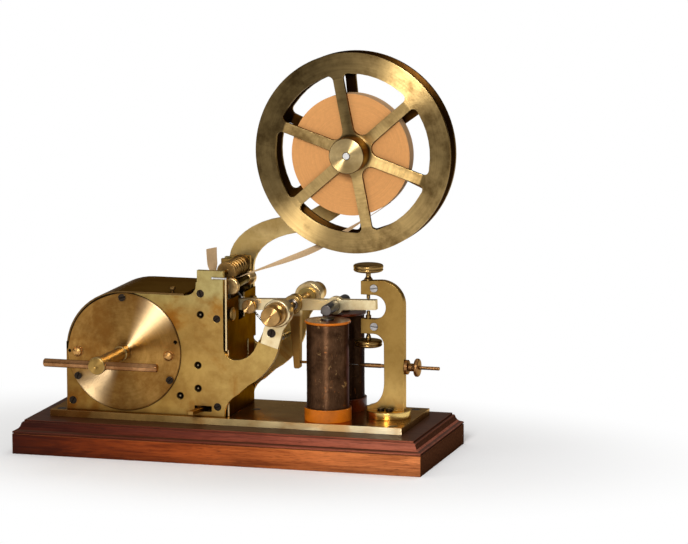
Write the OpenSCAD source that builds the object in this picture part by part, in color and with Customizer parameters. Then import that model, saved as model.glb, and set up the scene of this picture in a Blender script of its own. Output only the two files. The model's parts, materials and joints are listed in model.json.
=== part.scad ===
// Clockwork paper-tape telegraph register on a moulded mahogany base.
// Frame: +X right, +Y back, +Z up, millimetres. Origin: middle of the base's underside.
// The works stand between two brass plates; their middle plane is mid_y.

/* [Base] */
// Length of the wooden base
base_l = 380; // [370:1:400]
// Depth of the wooden base
base_w = 150.8; // [150:0.2:160]
// Height of the lower wooden block
block_h = 19.1; // [18:0.1:24]
// Thickness of the moulded upper board
board_h = 10.8; // [10.8:0.1:14]
// How far the moulding steps in on every side
mould_inset = 8.6; // [7:0.1:10]
// Thickness of the brass base plate
bed_t = 6.3; // [6:0.1:8]

/* [Frame plates] */
// Front face of the front plate
front_y = -39.5; // [-40:0.1:-39]
// Back face of the back plate
back_y = 46; // [45.8:0.1:46.5]
// Thickness of both plates
plate_t = 5; // [5:0.1:6]
// Middle plane of lever, coils, rollers and reel
mid_y = 4; // [4:0.1:4.4]
// Barrel axis along X
barrel_x = -95; // [-95.5:0.1:-94.8]
// Barrel axis height above the base plate
barrel_rise = 55.3; // [55.2:0.1:56]
// Radius of the plates' round shoulder
shoulder_r = 53.5; // [53.4:0.1:54]
// Thickness of the curved cover sheet
sheet_t = 1.6; // [1.4:0.1:1.8]

/* [Clockwork] */
// Teeth of the great wheel
great_z = 51; // [51:1:51]
// Tooth size of the great wheel
great_m = 2; // [2:1:2]
// Outer radius of the spring barrel
drum_r = 46; // [44:0.5:47]
// Turns of the mainspring
spring_turns = 7; // [5:1:8]
// Width of the winding key's cross bar
key_span = 106; // [90:1:110]
// How far the key's head stands out of the barrel cover
key_reach = 73.5; // [60:0.5:80]

/* [Tape path] */
// Width of the paper tape
tape_w = 14; // [10:0.5:15]
// Radius of the grooved roller's rims
roller_r = 8.9; // [8.5:0.1:9]
// Length of the grooved roller
roller_l = 45; // [44:0.5:45]
// Radius of the ball at the pressure roller's back end
ball_r = 7.1; // [6.6:0.1:7.2]

/* [Reel] */
// Radius of the reel's wheels
wheel_r = 89.5; // [80:0.5:90]
// Inner radius of the wheels' rims
rim_r = 71; // [66:0.5:74]
// Thickness of each wheel
wheel_t = 3.4; // [3:0.1:4]
// Number of spokes
spokes = 6; // [5:1:7]
// Radius of the paper roll
roll_r = 54.3; // [45:0.1:56]
// Radius of the paper roll's bore
roll_bore = 9.7; // [9.6:0.1:12]
// Radius of the reel's front boss
boss_r = 16; // [14:0.5:17]

/* [Magnet and lever] */
// Distance between the two coils
coil_gap = 50; // [49:0.5:51]
// Radius of the wrapped windings
coil_r = 19.2; // [18:0.1:20]
// Lever tilt at rest, right end up
tilt = 2.23; // [2.1:0.01:2.3]
// Play of the lever between its contacts
lever_play = 0.8; // [0.5:0.1:1]
// Curls of the lever's tension spring
spring_curls = 12; // [8:1:14]

/* [Hidden] */
$fn = 64;

BRASS = "#b8934a";
BRIGHT = "#d8b56a";
STEEL = "#8d8f93";
BLUED = "#2c2a2c";
WOOD = "#7a3015";
AMBER = "#b4581a";
WRAP = "#3a291e";
PAPER = "#cf9a68";
IRON = "#4a4a4c";

eps = 0.02;
fit = 0.05;
gap = 0.3;
board_z = block_h + board_h;
bed = board_z + bed_t;
barrel_z = bed + barrel_rise;
front_in = front_y + plate_t;
back_in = back_y - plate_t;
sum_y = front_y + back_y;
BARREL = [barrel_x, barrel_z];

// Train centres: each meshes with the wheel before it
CENTRE = BARREL + 70 * [cos(-7.5), sin(-7.5)];
GOVERNOR = CENTRE + [0, -21];
FLY = GOVERNOR + 18.5 * [cos(204), sin(204)];
FEED = CENTRE + 46 * [cos(86.7), sin(86.7)];
ROLLER = FEED + 40.39 * [cos(64), sin(64)];
IDLER = meet(FEED, 25, ROLLER, 16);
PRESS = ROLLER + [5.2, -12.6];

PIVOT = [51.5, 134.5];
ARMATURE_X = 90;
CONTACT_X = 120.5;
REG_Z = 81.8;
BRACKET_Y = mid_y - 4;
FOOT = [139, mid_y];
FOOT_SCREWS = [-4.6, 3.1];
REEL = [109, 273.6];
COIL_Y = [mid_y - coil_gap / 2, mid_y + coil_gap / 2];
FRONT_PILLARS = [[-144.6, 44.7], [-7.5, 45.3]];
RIVET_PILLAR = [-52, 138];
BRIDGE_PILLARS = [[-58, 43.7], [-5, 58]];
COVER_BLOCK = [-7.7, 125.1];
TOWER_SCREW = [-22.9, 147.3];
BACK_BLOCK = [-4.2, 121.4];
ARM_SCREW = [-8.5, 149];
LAP_SCREW = [43.3, 114.6];
COCK_POSTS = [[-19.6, 164.6], [-5.2, 140.5]];
DISC_SCREWS = [for (a = [208.5, 331.5, 91]) BARREL + 49.5 * [cos(a), sin(a)]];
BED_SCREWS = [[155, -38], [154, 42.5], [-156, -37], [-156, 42.5], [15, 4]];
disc_r = 53.3;
window_r = 46.8;

// Small geometry helpers
function unit(v) = v / norm(v);
function arc(c, r, a0, a1, n) = [for (i = [0:n]) let(a = a0 + (a1 - a0) * i / n) c + r * [cos(a), sin(a)]];
function corner(p0, p1, p2, r, n) = r <= 0 ? [p1] :
    let(a = unit(p0 - p1), b = unit(p2 - p1), half = acos(a * b) / 2,
        c = p1 + unit(a + b) * r / sin(half), s = p1 + a * r / tan(half), e = p1 + b * r / tan(half),
        a0 = atan2(s.y - c.y, s.x - c.x), a1 = atan2(e.y - c.y, e.x - c.x),
        turn = ((a1 - a0) % 360 + 540) % 360 - 180)
    [for (i = [0:n]) c + r * [cos(a0 + turn * i / n), sin(a0 + turn * i / n)]];
function xy(p) = [p.x, p.y];
function rounded(p, n = 6) = [for (i = [0:len(p) - 1]) each
    corner(xy(p[(i + len(p) - 1) % len(p)]), xy(p[i]), xy(p[(i + 1) % len(p)]),
        len(p[i]) > 2 ? p[i].z : 0, n)];
function bezier(p, n) = [for (i = [0:n]) let(t = i / n, u = 1 - t)
    u * u * u * p[0] + 3 * u * u * t * p[1] + 3 * u * t * t * p[2] + t * t * t * p[3]];
// Point at distance a from p and b from q, on the left-hand side
function meet(p, a, q, b) = let(d = norm(q - p), x = (a * a - b * b + d * d) / (2 * d),
    h = sqrt(max(0, a * a - x * x)), e = unit(q - p)) p + x * e + h * [-e.y, e.x];

module rod(at, y0, y1, d) {
    translate([at.x, y0, at.y]) rotate([-90, 0, 0]) cylinder(h = y1 - y0, d = d);
}
module cone(at, y0, y1, d0, d1) {
    translate([at.x, y0, at.y]) rotate([-90, 0, 0]) cylinder(h = y1 - y0, d1 = d0, d2 = d1);
}
module slab(y0, y1) {
    translate([0, y1, 0]) rotate([90, 0, 0]) linear_extrude(y1 - y0) children();
}
module at_y(p, y0, a = 0) {
    translate([p.x, y0, p.y]) rotate([-90, 0, 0]) rotate([0, 0, -a]) children();
}
module turned(p, y0, profile) {
    at_y(p, y0) rotate_extrude() polygon(profile);
}
module post(x, y, z0, z1, d) {
    translate([x, y, z0]) cylinder(h = z1 - z0, d = d);
}
module link(a, b, r) {
    t = atan2(b.y - a.y, b.x - a.x);
    polygon(concat(arc(a, r, t + 90, t + 270, 10), arc(b, r, t - 90, t + 90, 10)));
}

// Involute teeth, slightly short and thin so that they run free
function inv(a) = tan(a) * 180 / PI - a;
function half_tooth(z, m, q) = let(rb = z * m / 2 * cos(20))
    90 / z - 8 * m / (z * m) + inv(20) - inv(acos(min(1, rb / q)));
function tooth_radii(z, m) = let(r = z * m / 2) [r - 1.05 * m, r - 0.4 * m, r + 0.2 * m, r + 0.75 * m];
function gear_outline(z, m) = let(q = tooth_radii(z, m)) [for (i = [0:z - 1]) let(a = 360 * i / z) each concat(
    [for (k = [0:3]) q[k] * [cos(a - half_tooth(z, m, q[k])), sin(a - half_tooth(z, m, q[k]))]],
    [for (k = [3:-1:0]) q[k] * [cos(a + half_tooth(z, m, q[k])), sin(a + half_tooth(z, m, q[k]))]])];
// Turn of a wheel whose tooth gap faces a tooth of the wheel that it meets
function mesh_turn(from, z0, turn0, to, z1) = let(d = atan2(to.y - from.y, to.x - from.x))
    d + 180 - 180 / z1 + (d - turn0) * z0 / z1;
module gear(p, y0, t, z, m, turn = 0, bore = 0, arms = 0, rim = 0) {
    at_y(p, y0) mirror([0, 1, 0]) rotate([0, 0, turn]) linear_extrude(t) difference() {
        polygon(gear_outline(z, m));
        if (bore > 0) circle(d = bore);
        if (arms > 0) for (i = [0:arms - 1]) rotate([0, 0, i * 360 / arms])
            translate([z * m / 4 + rim / 2, 0]) circle(z * m / 4 - rim);
    }
}

CENTRE_TURN = mesh_turn(BARREL, 51, 0, CENTRE, 19);
FEED_TURN = mesh_turn(CENTRE, 54, 0, FEED, 38);
IDLER_TURN = mesh_turn(FEED, 30, 0, IDLER, 20);
ROLLER_TURN = mesh_turn(IDLER, 20, IDLER_TURN, ROLLER, 12);
GOV_TURN = mesh_turn(CENTRE, 32, 0, GOVERNOR, 10);
FLY_TURN = mesh_turn(GOVERNOR, 26, 0, FLY, 11);

// Wooden base: edge profile as [inset, height] above the block
MOULD = [[0, 0], [0, 1.2], [1.2, 1.9], [3.2, 2.7], [4.8, 4.1], [5.9, 6.1], [6.6, 8.2], [7.2, 9], [8.6, 9], [8.6, 10.8]];
module moulded_board() {
    half = [for (p = MOULD) [p.x * mould_inset / 8.6, block_h + p.y * board_h / 10.8]];
    n = len(half) - 1;
    along = concat([for (p = half) [base_l / 2 - p.x, p.y]],
        [for (i = [n:-1:0]) [half[i].x - base_l / 2, half[i].y]]);
    across = concat([for (p = half) [base_w / 2 - p.x, p.y]],
        [for (i = [n:-1:0]) [half[i].x - base_w / 2, half[i].y]]);
    intersection() {
        slab(-base_w / 2, base_w / 2) polygon(along);
        translate([-base_l / 2, 0, 0]) rotate([90, 0, 90]) linear_extrude(base_l) polygon(across);
    }
}
module base_block() {
    color(WOOD) translate([-base_l / 2, -base_w / 2, 0]) difference() {
        cube([base_l, base_w, block_h]);
        translate([-1, -1, block_h - 0.9]) cube([base_l + 2, 1.9, 1]);
        translate([-1, base_w - 0.9, block_h - 0.9]) cube([base_l + 2, 2, 1]);
        translate([-1, -1, block_h - 0.9]) cube([1.9, base_w + 2, 1]);
        translate([base_l - 0.9, -1, block_h - 0.9]) cube([2, base_w + 2, 1]);
    }
}
module base_moulding() {
    color(WOOD) difference() {
        moulded_board();
        translate([81, mid_y - 36, block_h + 2.4]) cube([18, 72, board_h]);
        for (p = BED_SCREWS) post(p.x, p.y, block_h + 2, board_z + 1, 4.1);
    }
}
module base_plate() {
    color(BRASS) difference() {
        translate([-164.7, -45, board_z]) cube([329.3, 95, bed_t]);
        for (p = BED_SCREWS) {
            post(p.x, p.y, board_z - 1, bed + 1, 4.1);
            translate([p.x, p.y, bed - 2.2]) cylinder(h = 2.3, d1 = 4.1, d2 = 8.8);
        }
        for (y = COIL_Y) post(ARMATURE_X, y, board_z - 1, bed + 1, 12.1);
        post(-20, -26, bed - 4, bed + 1, 4.1);
        for (x = FOOT_SCREWS) post(FOOT.x + x, FOOT.y - 9, bed - 5, bed + 1, 3.1);
    }
}
module base_plate_screws() {
    color(BRASS) for (p = BED_SCREWS) difference() {
        union() {
            translate([p.x, p.y, bed - 2]) cylinder(h = 2, d1 = 4.3, d2 = 8.3);
            post(p.x, p.y, bed - 13, bed - 1.9, 4);
        }
        translate([p.x - 5, p.y - 0.5, bed - 1.1]) cube([10, 1, 2]);
    }
}

// Side plates
function shoulder(r) = arc(BARREL, r, 172.6, 90, 14);
module plate_outline() {
    left = concat([[-150.2, bed], [-150.2, barrel_z + 6.7]], shoulder(shoulder_r),
        arc([-37, barrel_z + shoulder_r + 10], 10, -90, 0, 6));
    tower = rounded([[-27, 157.5], [-25.9, 157.5], [-25.9, 168.3],
        [-1.7, 168.3], [-1.7, 88.6, 10.5], [23, 88.6, 21], [36.2, 118.5]]);
    tip = arc(PIVOT, 8.5, 160, -35, 9);
    flank = arc([-6, 118], 58.5, -3, -62, 8);
    foot = arc([20, 38], 21, 115, 185, 5);
    polygon(concat(left, tower, tip, flank, foot, [[-1.3, bed]]));
}
module oil_hole(p, front) {
    y = front ? front_y : back_y;
    rod(p, front ? y - 1 : y - 7, front ? y + 7 : y + 1, 3.1);
    if (front) cone(p, y - 0.1, y + 1.4, 6.6, 3);
    else cone(p, y - 1.4, y + 0.1, 3, 6.6);
}
module front_plate() {
    color(BRASS) difference() {
        slab(front_y, front_in) plate_outline();
        rod(BARREL, front_y - 1, front_in + 1, 2 * window_r);
        for (p = [CENTRE, FEED, GOVERNOR, FLY]) oil_hole(p, true);
        for (p = [ROLLER, IDLER]) rod(p, front_in - 3.5, front_in + 1, 3.1);
        for (p = FRONT_PILLARS) screw_hole(p);
        screw_hole(COVER_BLOCK);
        screw_hole(TOWER_SCREW);
        for (p = BRIDGE_PILLARS) rod(p, front_in - 2, front_in + 1, 3.1);
        for (p = DISC_SCREWS) rod(p, front_y - 1, front_in + 1, 3.1);
        rod([-11.1, 161.9], front_y - 1, front_in + 1, 2.4);
        slab(front_y - 1, front_in + 1) translate([-29, 40.5]) square([16, 5.2]);
        // The lap that the pivot block fills
        slab(front_y - 1, front_y + 2.5) pivot_lap();
        rod(LAP_SCREW, front_y - 1, front_in + 1, 3.1);
        rod(PIVOT, front_y - 1, front_in + 1, 8.1);
    }
}
module back_plate() {
    color(BRASS) difference() {
        slab(back_in, back_y) plate_outline();
        rod(BARREL, back_in - 1, back_y + 1, 12.1);
        for (p = [CENTRE, FEED]) oil_hole(p, false);
        rod(ROLLER, back_in - 1, back_in + 3.5, 3.1);
        rod(IDLER, back_in - 1, back_in + 3, 4.1);
        for (p = FRONT_PILLARS) rod(p, back_in - 1, back_y + 1, 4.1);
        rod(RIVET_PILLAR, back_in - 1, back_y + 1, 4.1);
        for (p = [BACK_BLOCK, ARM_SCREW]) rod(p, back_in - 1, back_y + 1, 3.1);
        slab(back_y - 2.5, back_y + 1) pivot_lap();
        rod(LAP_SCREW, back_in - 1, back_y + 1, 3.1);
        rod(PIVOT, back_in - 1, back_y + 1, 8.1);
        for (p = COCK_POSTS) rod(p, back_in - 1, back_in + 3, 3.1);
    }
}
module pivot_lap() {
    polygon([[32, 105.6], [50.5, 99.9], [70, 112], [70, 160], [30, 160], [30, 112]]);
}
module screw_hole(p) {
    rod(p, front_y - 1, front_in + 1, 4.1);
    rod(p, front_y - 1, front_y + 1.8, 7);
}
// A slotted screw whose head faces the viewer
module front_screw(p, y, long, d, head, turn) {
    difference() {
        union() {
            rod(p, y, y + 1.7, head);
            rod(p, y + 1.6, y + long, d);
        }
        at_y(p, y - 0.1, turn) translate([-head, -0.5, 0]) cube([2 * head, 1, 0.9]);
    }
}
module plate_pillars() {
    color(BRASS) {
        for (p = FRONT_PILLARS) difference() {
            rod(p, front_in, back_in, 10);
            rod(p, front_in - 1, front_in + 12, 4.1);
            rod(p, back_in - 12, back_in + 1, 4.1);
        }
        difference() {
            rod(RIVET_PILLAR, front_in, back_in, 9);
            rod(RIVET_PILLAR, back_in - 12, back_in + 1, 4.1);
        }
        difference() {
            translate([COVER_BLOCK.x - 6, front_in, 118.6]) cube([12.4, 10, 13.2]);
            rod(COVER_BLOCK, front_in - 1, front_in + 11, 4.1);
            translate([COVER_BLOCK.x + 2.2, front_in + 5, 128.6]) rotate([0, 90, 0]) cylinder(h = 10, d = 3.1);
        }
        difference() {
            translate([-6.7, back_in - 10, 117.6]) cube([5.4, 10, 14.2]);
            rod(BACK_BLOCK, back_in - 11, back_in + 1, 3.1);
            translate([-8, back_in - 5, 128.6]) rotate([0, 90, 0]) cylinder(h = 10, d = 3.1);
        }
    }
}
module plate_screws() {
    color(BLUED) {
        front_screw(FRONT_PILLARS[0], front_y, 16, 4, 6.8, 60);
        front_screw(FRONT_PILLARS[1], front_y, 16, 4, 6.8, 20);
        front_screw(COVER_BLOCK, front_y, 13, 4, 6.8, 35);
        front_screw(TOWER_SCREW, front_y, 4.9, 4, 6.8, 110);
        for (i = [0:2]) front_screw(DISC_SCREWS[i], front_y - 3.5, 8.3, 3, 6.6, [70, 40, 15][i]);
        front_screw(LAP_SCREW, front_y - 0.5, 5.4, 3, 7.5, 80);
        for (x = FOOT_SCREWS) difference() {
            union() {
                post(FOOT.x + x, FOOT.y - 9, bed + 6.6, bed + 9.3, 6.2);
                post(FOOT.x + x, FOOT.y - 9, bed - 4.5, bed + 6.7, 3);
            }
            translate([FOOT.x + x - 4, FOOT.y - 9.5, bed + 8.3]) cube([8, 1, 2]);
        }
        for (p = concat(FRONT_PILLARS, [RIVET_PILLAR])) back_screw(p, back_y, 13, 4, 7);
        back_screw(LAP_SCREW, back_y - 1.2, 3.4, 3, 7.5);
        back_screw(ARM_SCREW, back_y + 4.5, 9, 3, 6.4);
        back_screw(BACK_BLOCK, back_y + 4.5, 17, 3, 6.4);
    }
}
module back_screw(p, y, long, d, head) {
    difference() {
        union() {
            rod(p, y, y + 1.8, head);
            rod(p, y - long, y + 0.1, d);
        }
        at_y(p, y + 1) translate([-head, -0.5, 0]) cube([2 * head, 1, 2]);
    }
}
module train_bridge() {
    color(BRASS) {
        difference() {
            union() {
                slab(-5, -2) {
                    link(BRIDGE_PILLARS[0], FLY, 5);
                    link(FLY, GOVERNOR, 5);
                    link(GOVERNOR, BRIDGE_PILLARS[1], 5);
                }
                for (p = BRIDGE_PILLARS) {
                    rod(p, front_in, -4, 7);
                    rod(p, front_in - 1.9, front_in + 1, 3);
                }
            }
            for (p = [FLY, GOVERNOR]) rod(p, -6, -1, 3.1);
        }
    }
}

// Covers
module barrel_cover() {
    color(BRIGHT) {
        difference() {
            union() {
                turned(BARREL, front_y - 1.8, [[0, 0], [disc_r - 0.8, 0], [disc_r, 0.6], [disc_r, 1.8], [0, 1.8]]);
                rod(BARREL, front_y - 0.1, front_in + 1.5, 2 * window_r - 0.6);
                cone(BARREL, front_y - 2.6, front_y - 1.7, 14, 14.8);
                for (x = [-43.6, 42.4]) turned([barrel_x + x, barrel_z - 1.6], front_y - 6.2,
                    [[0, 0], [1.9, 0.35], [3.5, 1.35], [4.5, 2.9], [4.6, 3.6], [4, 4.5], [0, 4.5]]);
            }
            rod(BARREL, front_y - 5, front_in + 3, 12.1);
            for (p = DISC_SCREWS) rod(p, front_y - 3, front_in, 3.1);
            rod([barrel_x + 48.9, barrel_z + 11], front_y - 3, front_y - 0.5, 3.4);
            rod([barrel_x - 51.5, barrel_z - 1.2], front_y - 3, front_y - 0.5, 2.6);
            rod([barrel_x + 20, barrel_z + 6], front_in - 1.9, front_in + 2, 3.1);
        }
    }
}
module cover_section(r) {
    polygon(concat([[r == shoulder_r ? -148.1 : -149.7, barrel_z + 6.9]], shoulder(r),
        [[-37 - (r - shoulder_r), barrel_z + r], [-37, barrel_z + 20], [barrel_x, barrel_z]]));
}
module drum_cover() {
    color(BRASS) {
        difference() {
            slab(front_y, back_y) difference() {
                cover_section(shoulder_r + sheet_t);
                cover_section(shoulder_r + eps);
                translate([-200, 0]) square([300, barrel_z + 6.9]);
                polygon([BARREL, [-37.2, barrel_z + shoulder_r + eps], [-30, barrel_z + 30], [-30, 90]]);
            }
            rod([-51, barrel_z + shoulder_r], -100, -99, 1);
        }
        translate([-51, -33.5, barrel_z + shoulder_r + sheet_t - eps]) rotate_extrude()
            polygon([[0, 0], [1.6, 0], [1.6, 1.8], [2.9, 2.8], [2.9, 4.8], [1.8, 5.4], [0, 5.4]]);
    }
}
module end_cover() {
    x0 = 0.3;
    color(BRASS) difference() {
        union() {
            translate([x0, front_y, 96.5]) cube([1.5, back_y - front_y, 45]);
            translate([x0, front_in + 0.4, bed + 0.3]) cube([1.5, back_in - front_in - 0.8, 61]);
            translate([x0, front_y, 140]) cube([1.5, 3.2, 22.4]);
            translate([-10.9, front_y - 0.2 - 0.8, 161.2]) cube([x0 + 11.4, 0.8, 1.4]);
            translate([x0, front_y - 1, 161.2]) cube([1.5, 1.2, 1.4]);
            rod([-11.1, 161.9], front_y - 1, front_y + 3, 2.2);
        }
        translate([x0 - 1, mid_y - 9, 119]) cube([4, 18, 40]);
        translate([x0 - 1, 18.8, CENTRE.y - 15]) cube([4, 4.9, 30]);
        for (y = [front_in + 5, back_in - 5]) translate([-3, y, 128.6]) rotate([0, 90, 0])
            cylinder(h = 8, d = 3.3);
    }
}
module end_cover_screws() {
    color(BRASS) for (y = [front_in + 5, back_in - 5]) translate([-5, y, 128.6]) rotate([0, 90, 0]) {
        cylinder(h = 9, d = 3);
        translate([0, 0, 6.8]) cylinder(h = 1.4, d = 4.6);
        translate([0, 0, 7.6]) rotate_extrude()
            polygon([[0, 0], [5.4, 0], [6.2, 0.7], [6.2, 2], [5.4, 2.7], [0, 2.7]]);
    }
}

// Winding work
module winding_key() {
    y = front_y - 1.8 - key_reach;
    color(BRIGHT) difference() {
        turned(BARREL, y, [[0, 0], [7.2, 0], [7.9, 0.7], [7.9, 4], [7.2, 10.8], [6.4, 12.6], [6.4, 38], [6, 39.2],
            [6, 62], [7, 62.6], [7, key_reach - 1.2], [0, key_reach - 1.2]]);
        rod(BARREL, front_y - 14, front_y, 8.1);
        translate([barrel_x - 20, y + 6.2, barrel_z]) rotate([0, 90, 0]) cylinder(h = 40, d = 7.5);
    }
}
module key_bar() {
    y = front_y - 1.8 - key_reach + 6.2;
    color("#a87348") translate([barrel_x + 2 - key_span / 2, y, barrel_z]) rotate([0, 90, 0]) rotate_extrude()
        polygon([[0, 0], [2.9, 0], [3.7, 0.8], [3.7, key_span - 0.8], [2.9, key_span], [0, key_span]]);
}
module winding_arbor() {
    color(STEEL) {
        rod(BARREL, front_y - 13.5, front_y - 2.8, 8);
        rod(BARREL, front_y - 2.85, back_y + 2, 12);
        rod(BARREL, back_y + 1.9, back_y + 5, 9);
        // Ratchet teeth
        at_y(BARREL, front_in + 2.2) linear_extrude(2.6) polygon([for (i = [0:15], k = [0:1])
            (k == 0 ? 14 : 11.2) * [cos(i * 22.5 + k * 20), sin(i * 22.5 + k * 20)]]);
        rod(BARREL, front_in + 4.7, front_in + 6, 20);
    }
}
module click() {
    p = BARREL + [20, 6];
    color(STEEL) {
        rod(p, front_in - 1.8, front_in + 5.6, 3);
        slab(front_in + 2.2, front_in + 4.8) difference() {
            union() {
                translate(p) circle(3.4);
                polygon([p + [-2.4, 2.4], p + [-1, 9], p + [-4.6, 9.9], p + [-7.1, 8.2], p + [-3.2, -1]]);
            }
            translate(BARREL) circle(14.5);
        }
    }
}
module spring_barrel() {
    color(BRASS) difference() {
        union() {
            rod(BARREL, front_in + 7, 12, 2 * drum_r);
            gear(BARREL, 12 - eps, 4, great_z, great_m);
            rod(BARREL, 15, 20, 22);
        }
        rod(BARREL, front_in + 9, 10, 2 * drum_r - 4);
        rod(BARREL, front_in, 30, 12.1);
    }
}
function spiral(r0, r1, turns, n) = [for (i = [0:n]) let(a = 360 * turns * i / n)
    (r0 + (r1 - r0) * i / n) * [cos(a), sin(a)]];
module mainspring() {
    n = spring_turns * 20;
    color(STEEL) slab(front_in + 10, 9) translate(BARREL)
        polygon(concat(spiral(8.2, 42.2, spring_turns, n), [for (p = [n:-1:0]) spiral(9.1, 43.1, spring_turns, n)[p]]));
}

// Train
module arbor(p, y0, y1, d = 4.4) {
    rod(p, y0 + gap, y1 - gap, d);
    rod(p, y0 - 4.6, y1 + 4.6, 3);
}
module centre_wheels() {
    color(BRASS) {
        arbor(CENTRE, front_in, back_in);
        gear(CENTRE, 11.5, 5, 19, 2, CENTRE_TURN);
        gear(CENTRE, 20, 2.5, 54, 1, 0, 0, 5, 7);
        gear(CENTRE, -13, 2.5, 32, 1, 0);
        rod(CENTRE, 18, 24, 9);
    }
}
module governor_wheel() {
    color(BRASS) {
        rod(GOVERNOR, front_in + gap, -5 - gap, 4);
        rod(GOVERNOR, front_in - 4.6, -2.4, 3);
        gear(GOVERNOR, -14, 5, 10, 1, GOV_TURN);
        gear(GOVERNOR, -20, 2.5, 26, 1, 0);
    }
}
module governor_fly() {
    color(BRASS) {
        rod(FLY, front_in + gap, -5 - gap, 4);
        rod(FLY, front_in - 4.6, -2.4, 3);
        gear(FLY, -21, 4.5, 11, 1, FLY_TURN);
        rod(FLY, -24.5, -23, 13);
        rod(FLY, -15.5, -7, 6);
        translate([FLY.x - 11, -15, FLY.y - 0.5]) cube([22, 7.5, 1]);
    }
}
module feed_wheels() {
    color(BRASS) {
        arbor(FEED, front_in, back_in);
        gear(FEED, 19.5, 3.5, 38, 1, FEED_TURN);
        gear(FEED, 35.2, 2.5, 30, 1, 0);
    }
}
module idler_wheel() {
    color(BRASS) difference() {
        gear(IDLER, 34.9, 3.1, 20, 1, IDLER_TURN);
        rod(IDLER, 34, 39, 4.1);
    }
}

// Tape path
module grooved_roller() {
    y0 = mid_y - roller_l / 2;
    n = 10;
    color(BRASS) {
        turned(ROLLER, y0, concat([[0, 0], [roller_r - 0.5, 0], [roller_r, 0.5], [roller_r, 3], [roller_r - 1, 3.6]],
            [for (i = [0:n - 1], k = [0:1]) [roller_r - (k == 0 ? 1 : 1.9), 5 + i * (roller_l - 10) / n + k * 1.8]],
            [[roller_r - 1, roller_l - 4], [roller_r, roller_l - 3], [roller_r, roller_l], [0, roller_l]]));
        rod(ROLLER, front_in + gap, y0 + 1, 4);
        rod(ROLLER, front_in - 3.2, front_in + 1, 3);
        rod(ROLLER, y0 + roller_l - 1, back_in - gap, 5);
        rod(ROLLER, back_in - 1, back_in + 3.2, 3);
        gear(ROLLER, 35.2, 2.5, 12, 1, ROLLER_TURN);
    }
}
module pressure_roller() {
    ball = [for (a = [-76:8.5:9]) [ball_r * cos(a), ball_r * (1 + sin(a))]];
    color(BRASS) {
        rod(PRESS, -13, 21.5, 8.2);
        rod(PRESS, -18, 28, 3);
        turned(PRESS, -22.8, [[0, 0], [6.9, 0], [7.8, 0.8], [7.8, 3], [7, 3.6], [3, 4], [0, 4]]);
        turned(PRESS, 25.2, concat([[0, 0.3], [ball[0].x, 0.3]], ball, [[ball[len(ball) - 1].x, 9.1], [0, 9.1]]));
    }
}
TAIL = [-7.6, 147.7];
module pressure_frame() {
    color(BLUED) difference() {
        union() {
            rod(IDLER, -16.5, 25, 6.4);
            for (y = [-16.5, 22]) slab(y, y + 3) link(IDLER, PRESS, 3);
            slab(9.9, 13.1) link(IDLER, TAIL, 2);
        }
        rod(IDLER, -20, 30, 4.1);
        for (y = [-16.5, 22]) rod(PRESS, y - 1, y + 4, 3.1);
    }
}
module frame_pivot() {
    color(STEEL) {
        rod(IDLER, front_in + eps, 32, 4);
        rod(IDLER, front_in - 3, front_in + 1, 3);
    }
}
module pressure_spring() {
    a = [34, 99.8];
    b = [-6.9, 144.4];
    color(STEEL) {
        rod(a, 9, back_in - eps, 5);
        translate([a.x, 11.5, a.y]) rotate([0, atan2(b.x - a.x, b.y - a.y), 0]) cylinder(h = norm(b - a), d = 1.9);
    }
}
module guide_bracket() {
    color(BRIGHT) difference() {
        union() {
            slab(30, 34.4) {
                polygon([[-25.7, 158], [-25.7, 168.2], [-14.3, 168.2], [-14.3, 171.5], [1.7, 171.5], [1.7, 159.6],
                    [-7.6, 159.6], [-9, 157], [-9.4, 152], [-12, 147.4], [-18.5, 147.4], [-21, 152], [-21, 158]]);
                link([-14.5, 149], COCK_POSTS[1], 2.4);
            }
            for (p = COCK_POSTS) {
                rod(p, 34.3, back_in, 5);
                rod(p, back_in - 0.1, back_in + 2.9, 3);
            }
            rod(IDLER, 34.3, back_in + 2.9, 4);
        }
        rod(ROLLER, 29, 36, 6);
        rod(IDLER, 29, 32.1, 4.1);
    }
}

// Paper tape: from the roll's underside straight to the nip, round the grooved roller's underside, then up
ROLL = REEL + [-2.8, -1.8];
nip_r = roller_r + 0.32;
function tape_line() = concat(
    bezier([ROLL + (roll_r + 0.2) * [sin(38), -cos(38)], [124, 217], [99, 201.5], [76.9, 188.2]], 9),
    [for (p = bezier([[76.9, 188.2], [60, 179], [30, 169], [8, 160.1]], 12)) if (p.x < 76.8) p],
    arc(ROLLER, nip_r, -67.6, -100, 5),
    [for (p = bezier([ROLLER + nip_r * [cos(-100), sin(-100)], [-15, 156.9], [-24, 155.5], [-24.7, 162]], 8))
        if (p.x < -7) p],
    bezier([[-24.9, 164], [-25.6, 168], [-25.9, 172], [-26.2, 181.7]], 5));
module paper_tape() {
    p = tape_line();
    n = len(p) - 1;
    side = [for (i = [0:n]) let(d = unit(p[min(n, i + 1)] - p[max(0, i - 1)])) 0.15 * [d.y, -d.x]];
    color(PAPER) slab(mid_y - tape_w / 2, mid_y + tape_w / 2)
        polygon(concat([for (i = [0:n]) p[i] + side[i]], [for (i = [n:-1:0]) p[i] - side[i]]));
}

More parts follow.
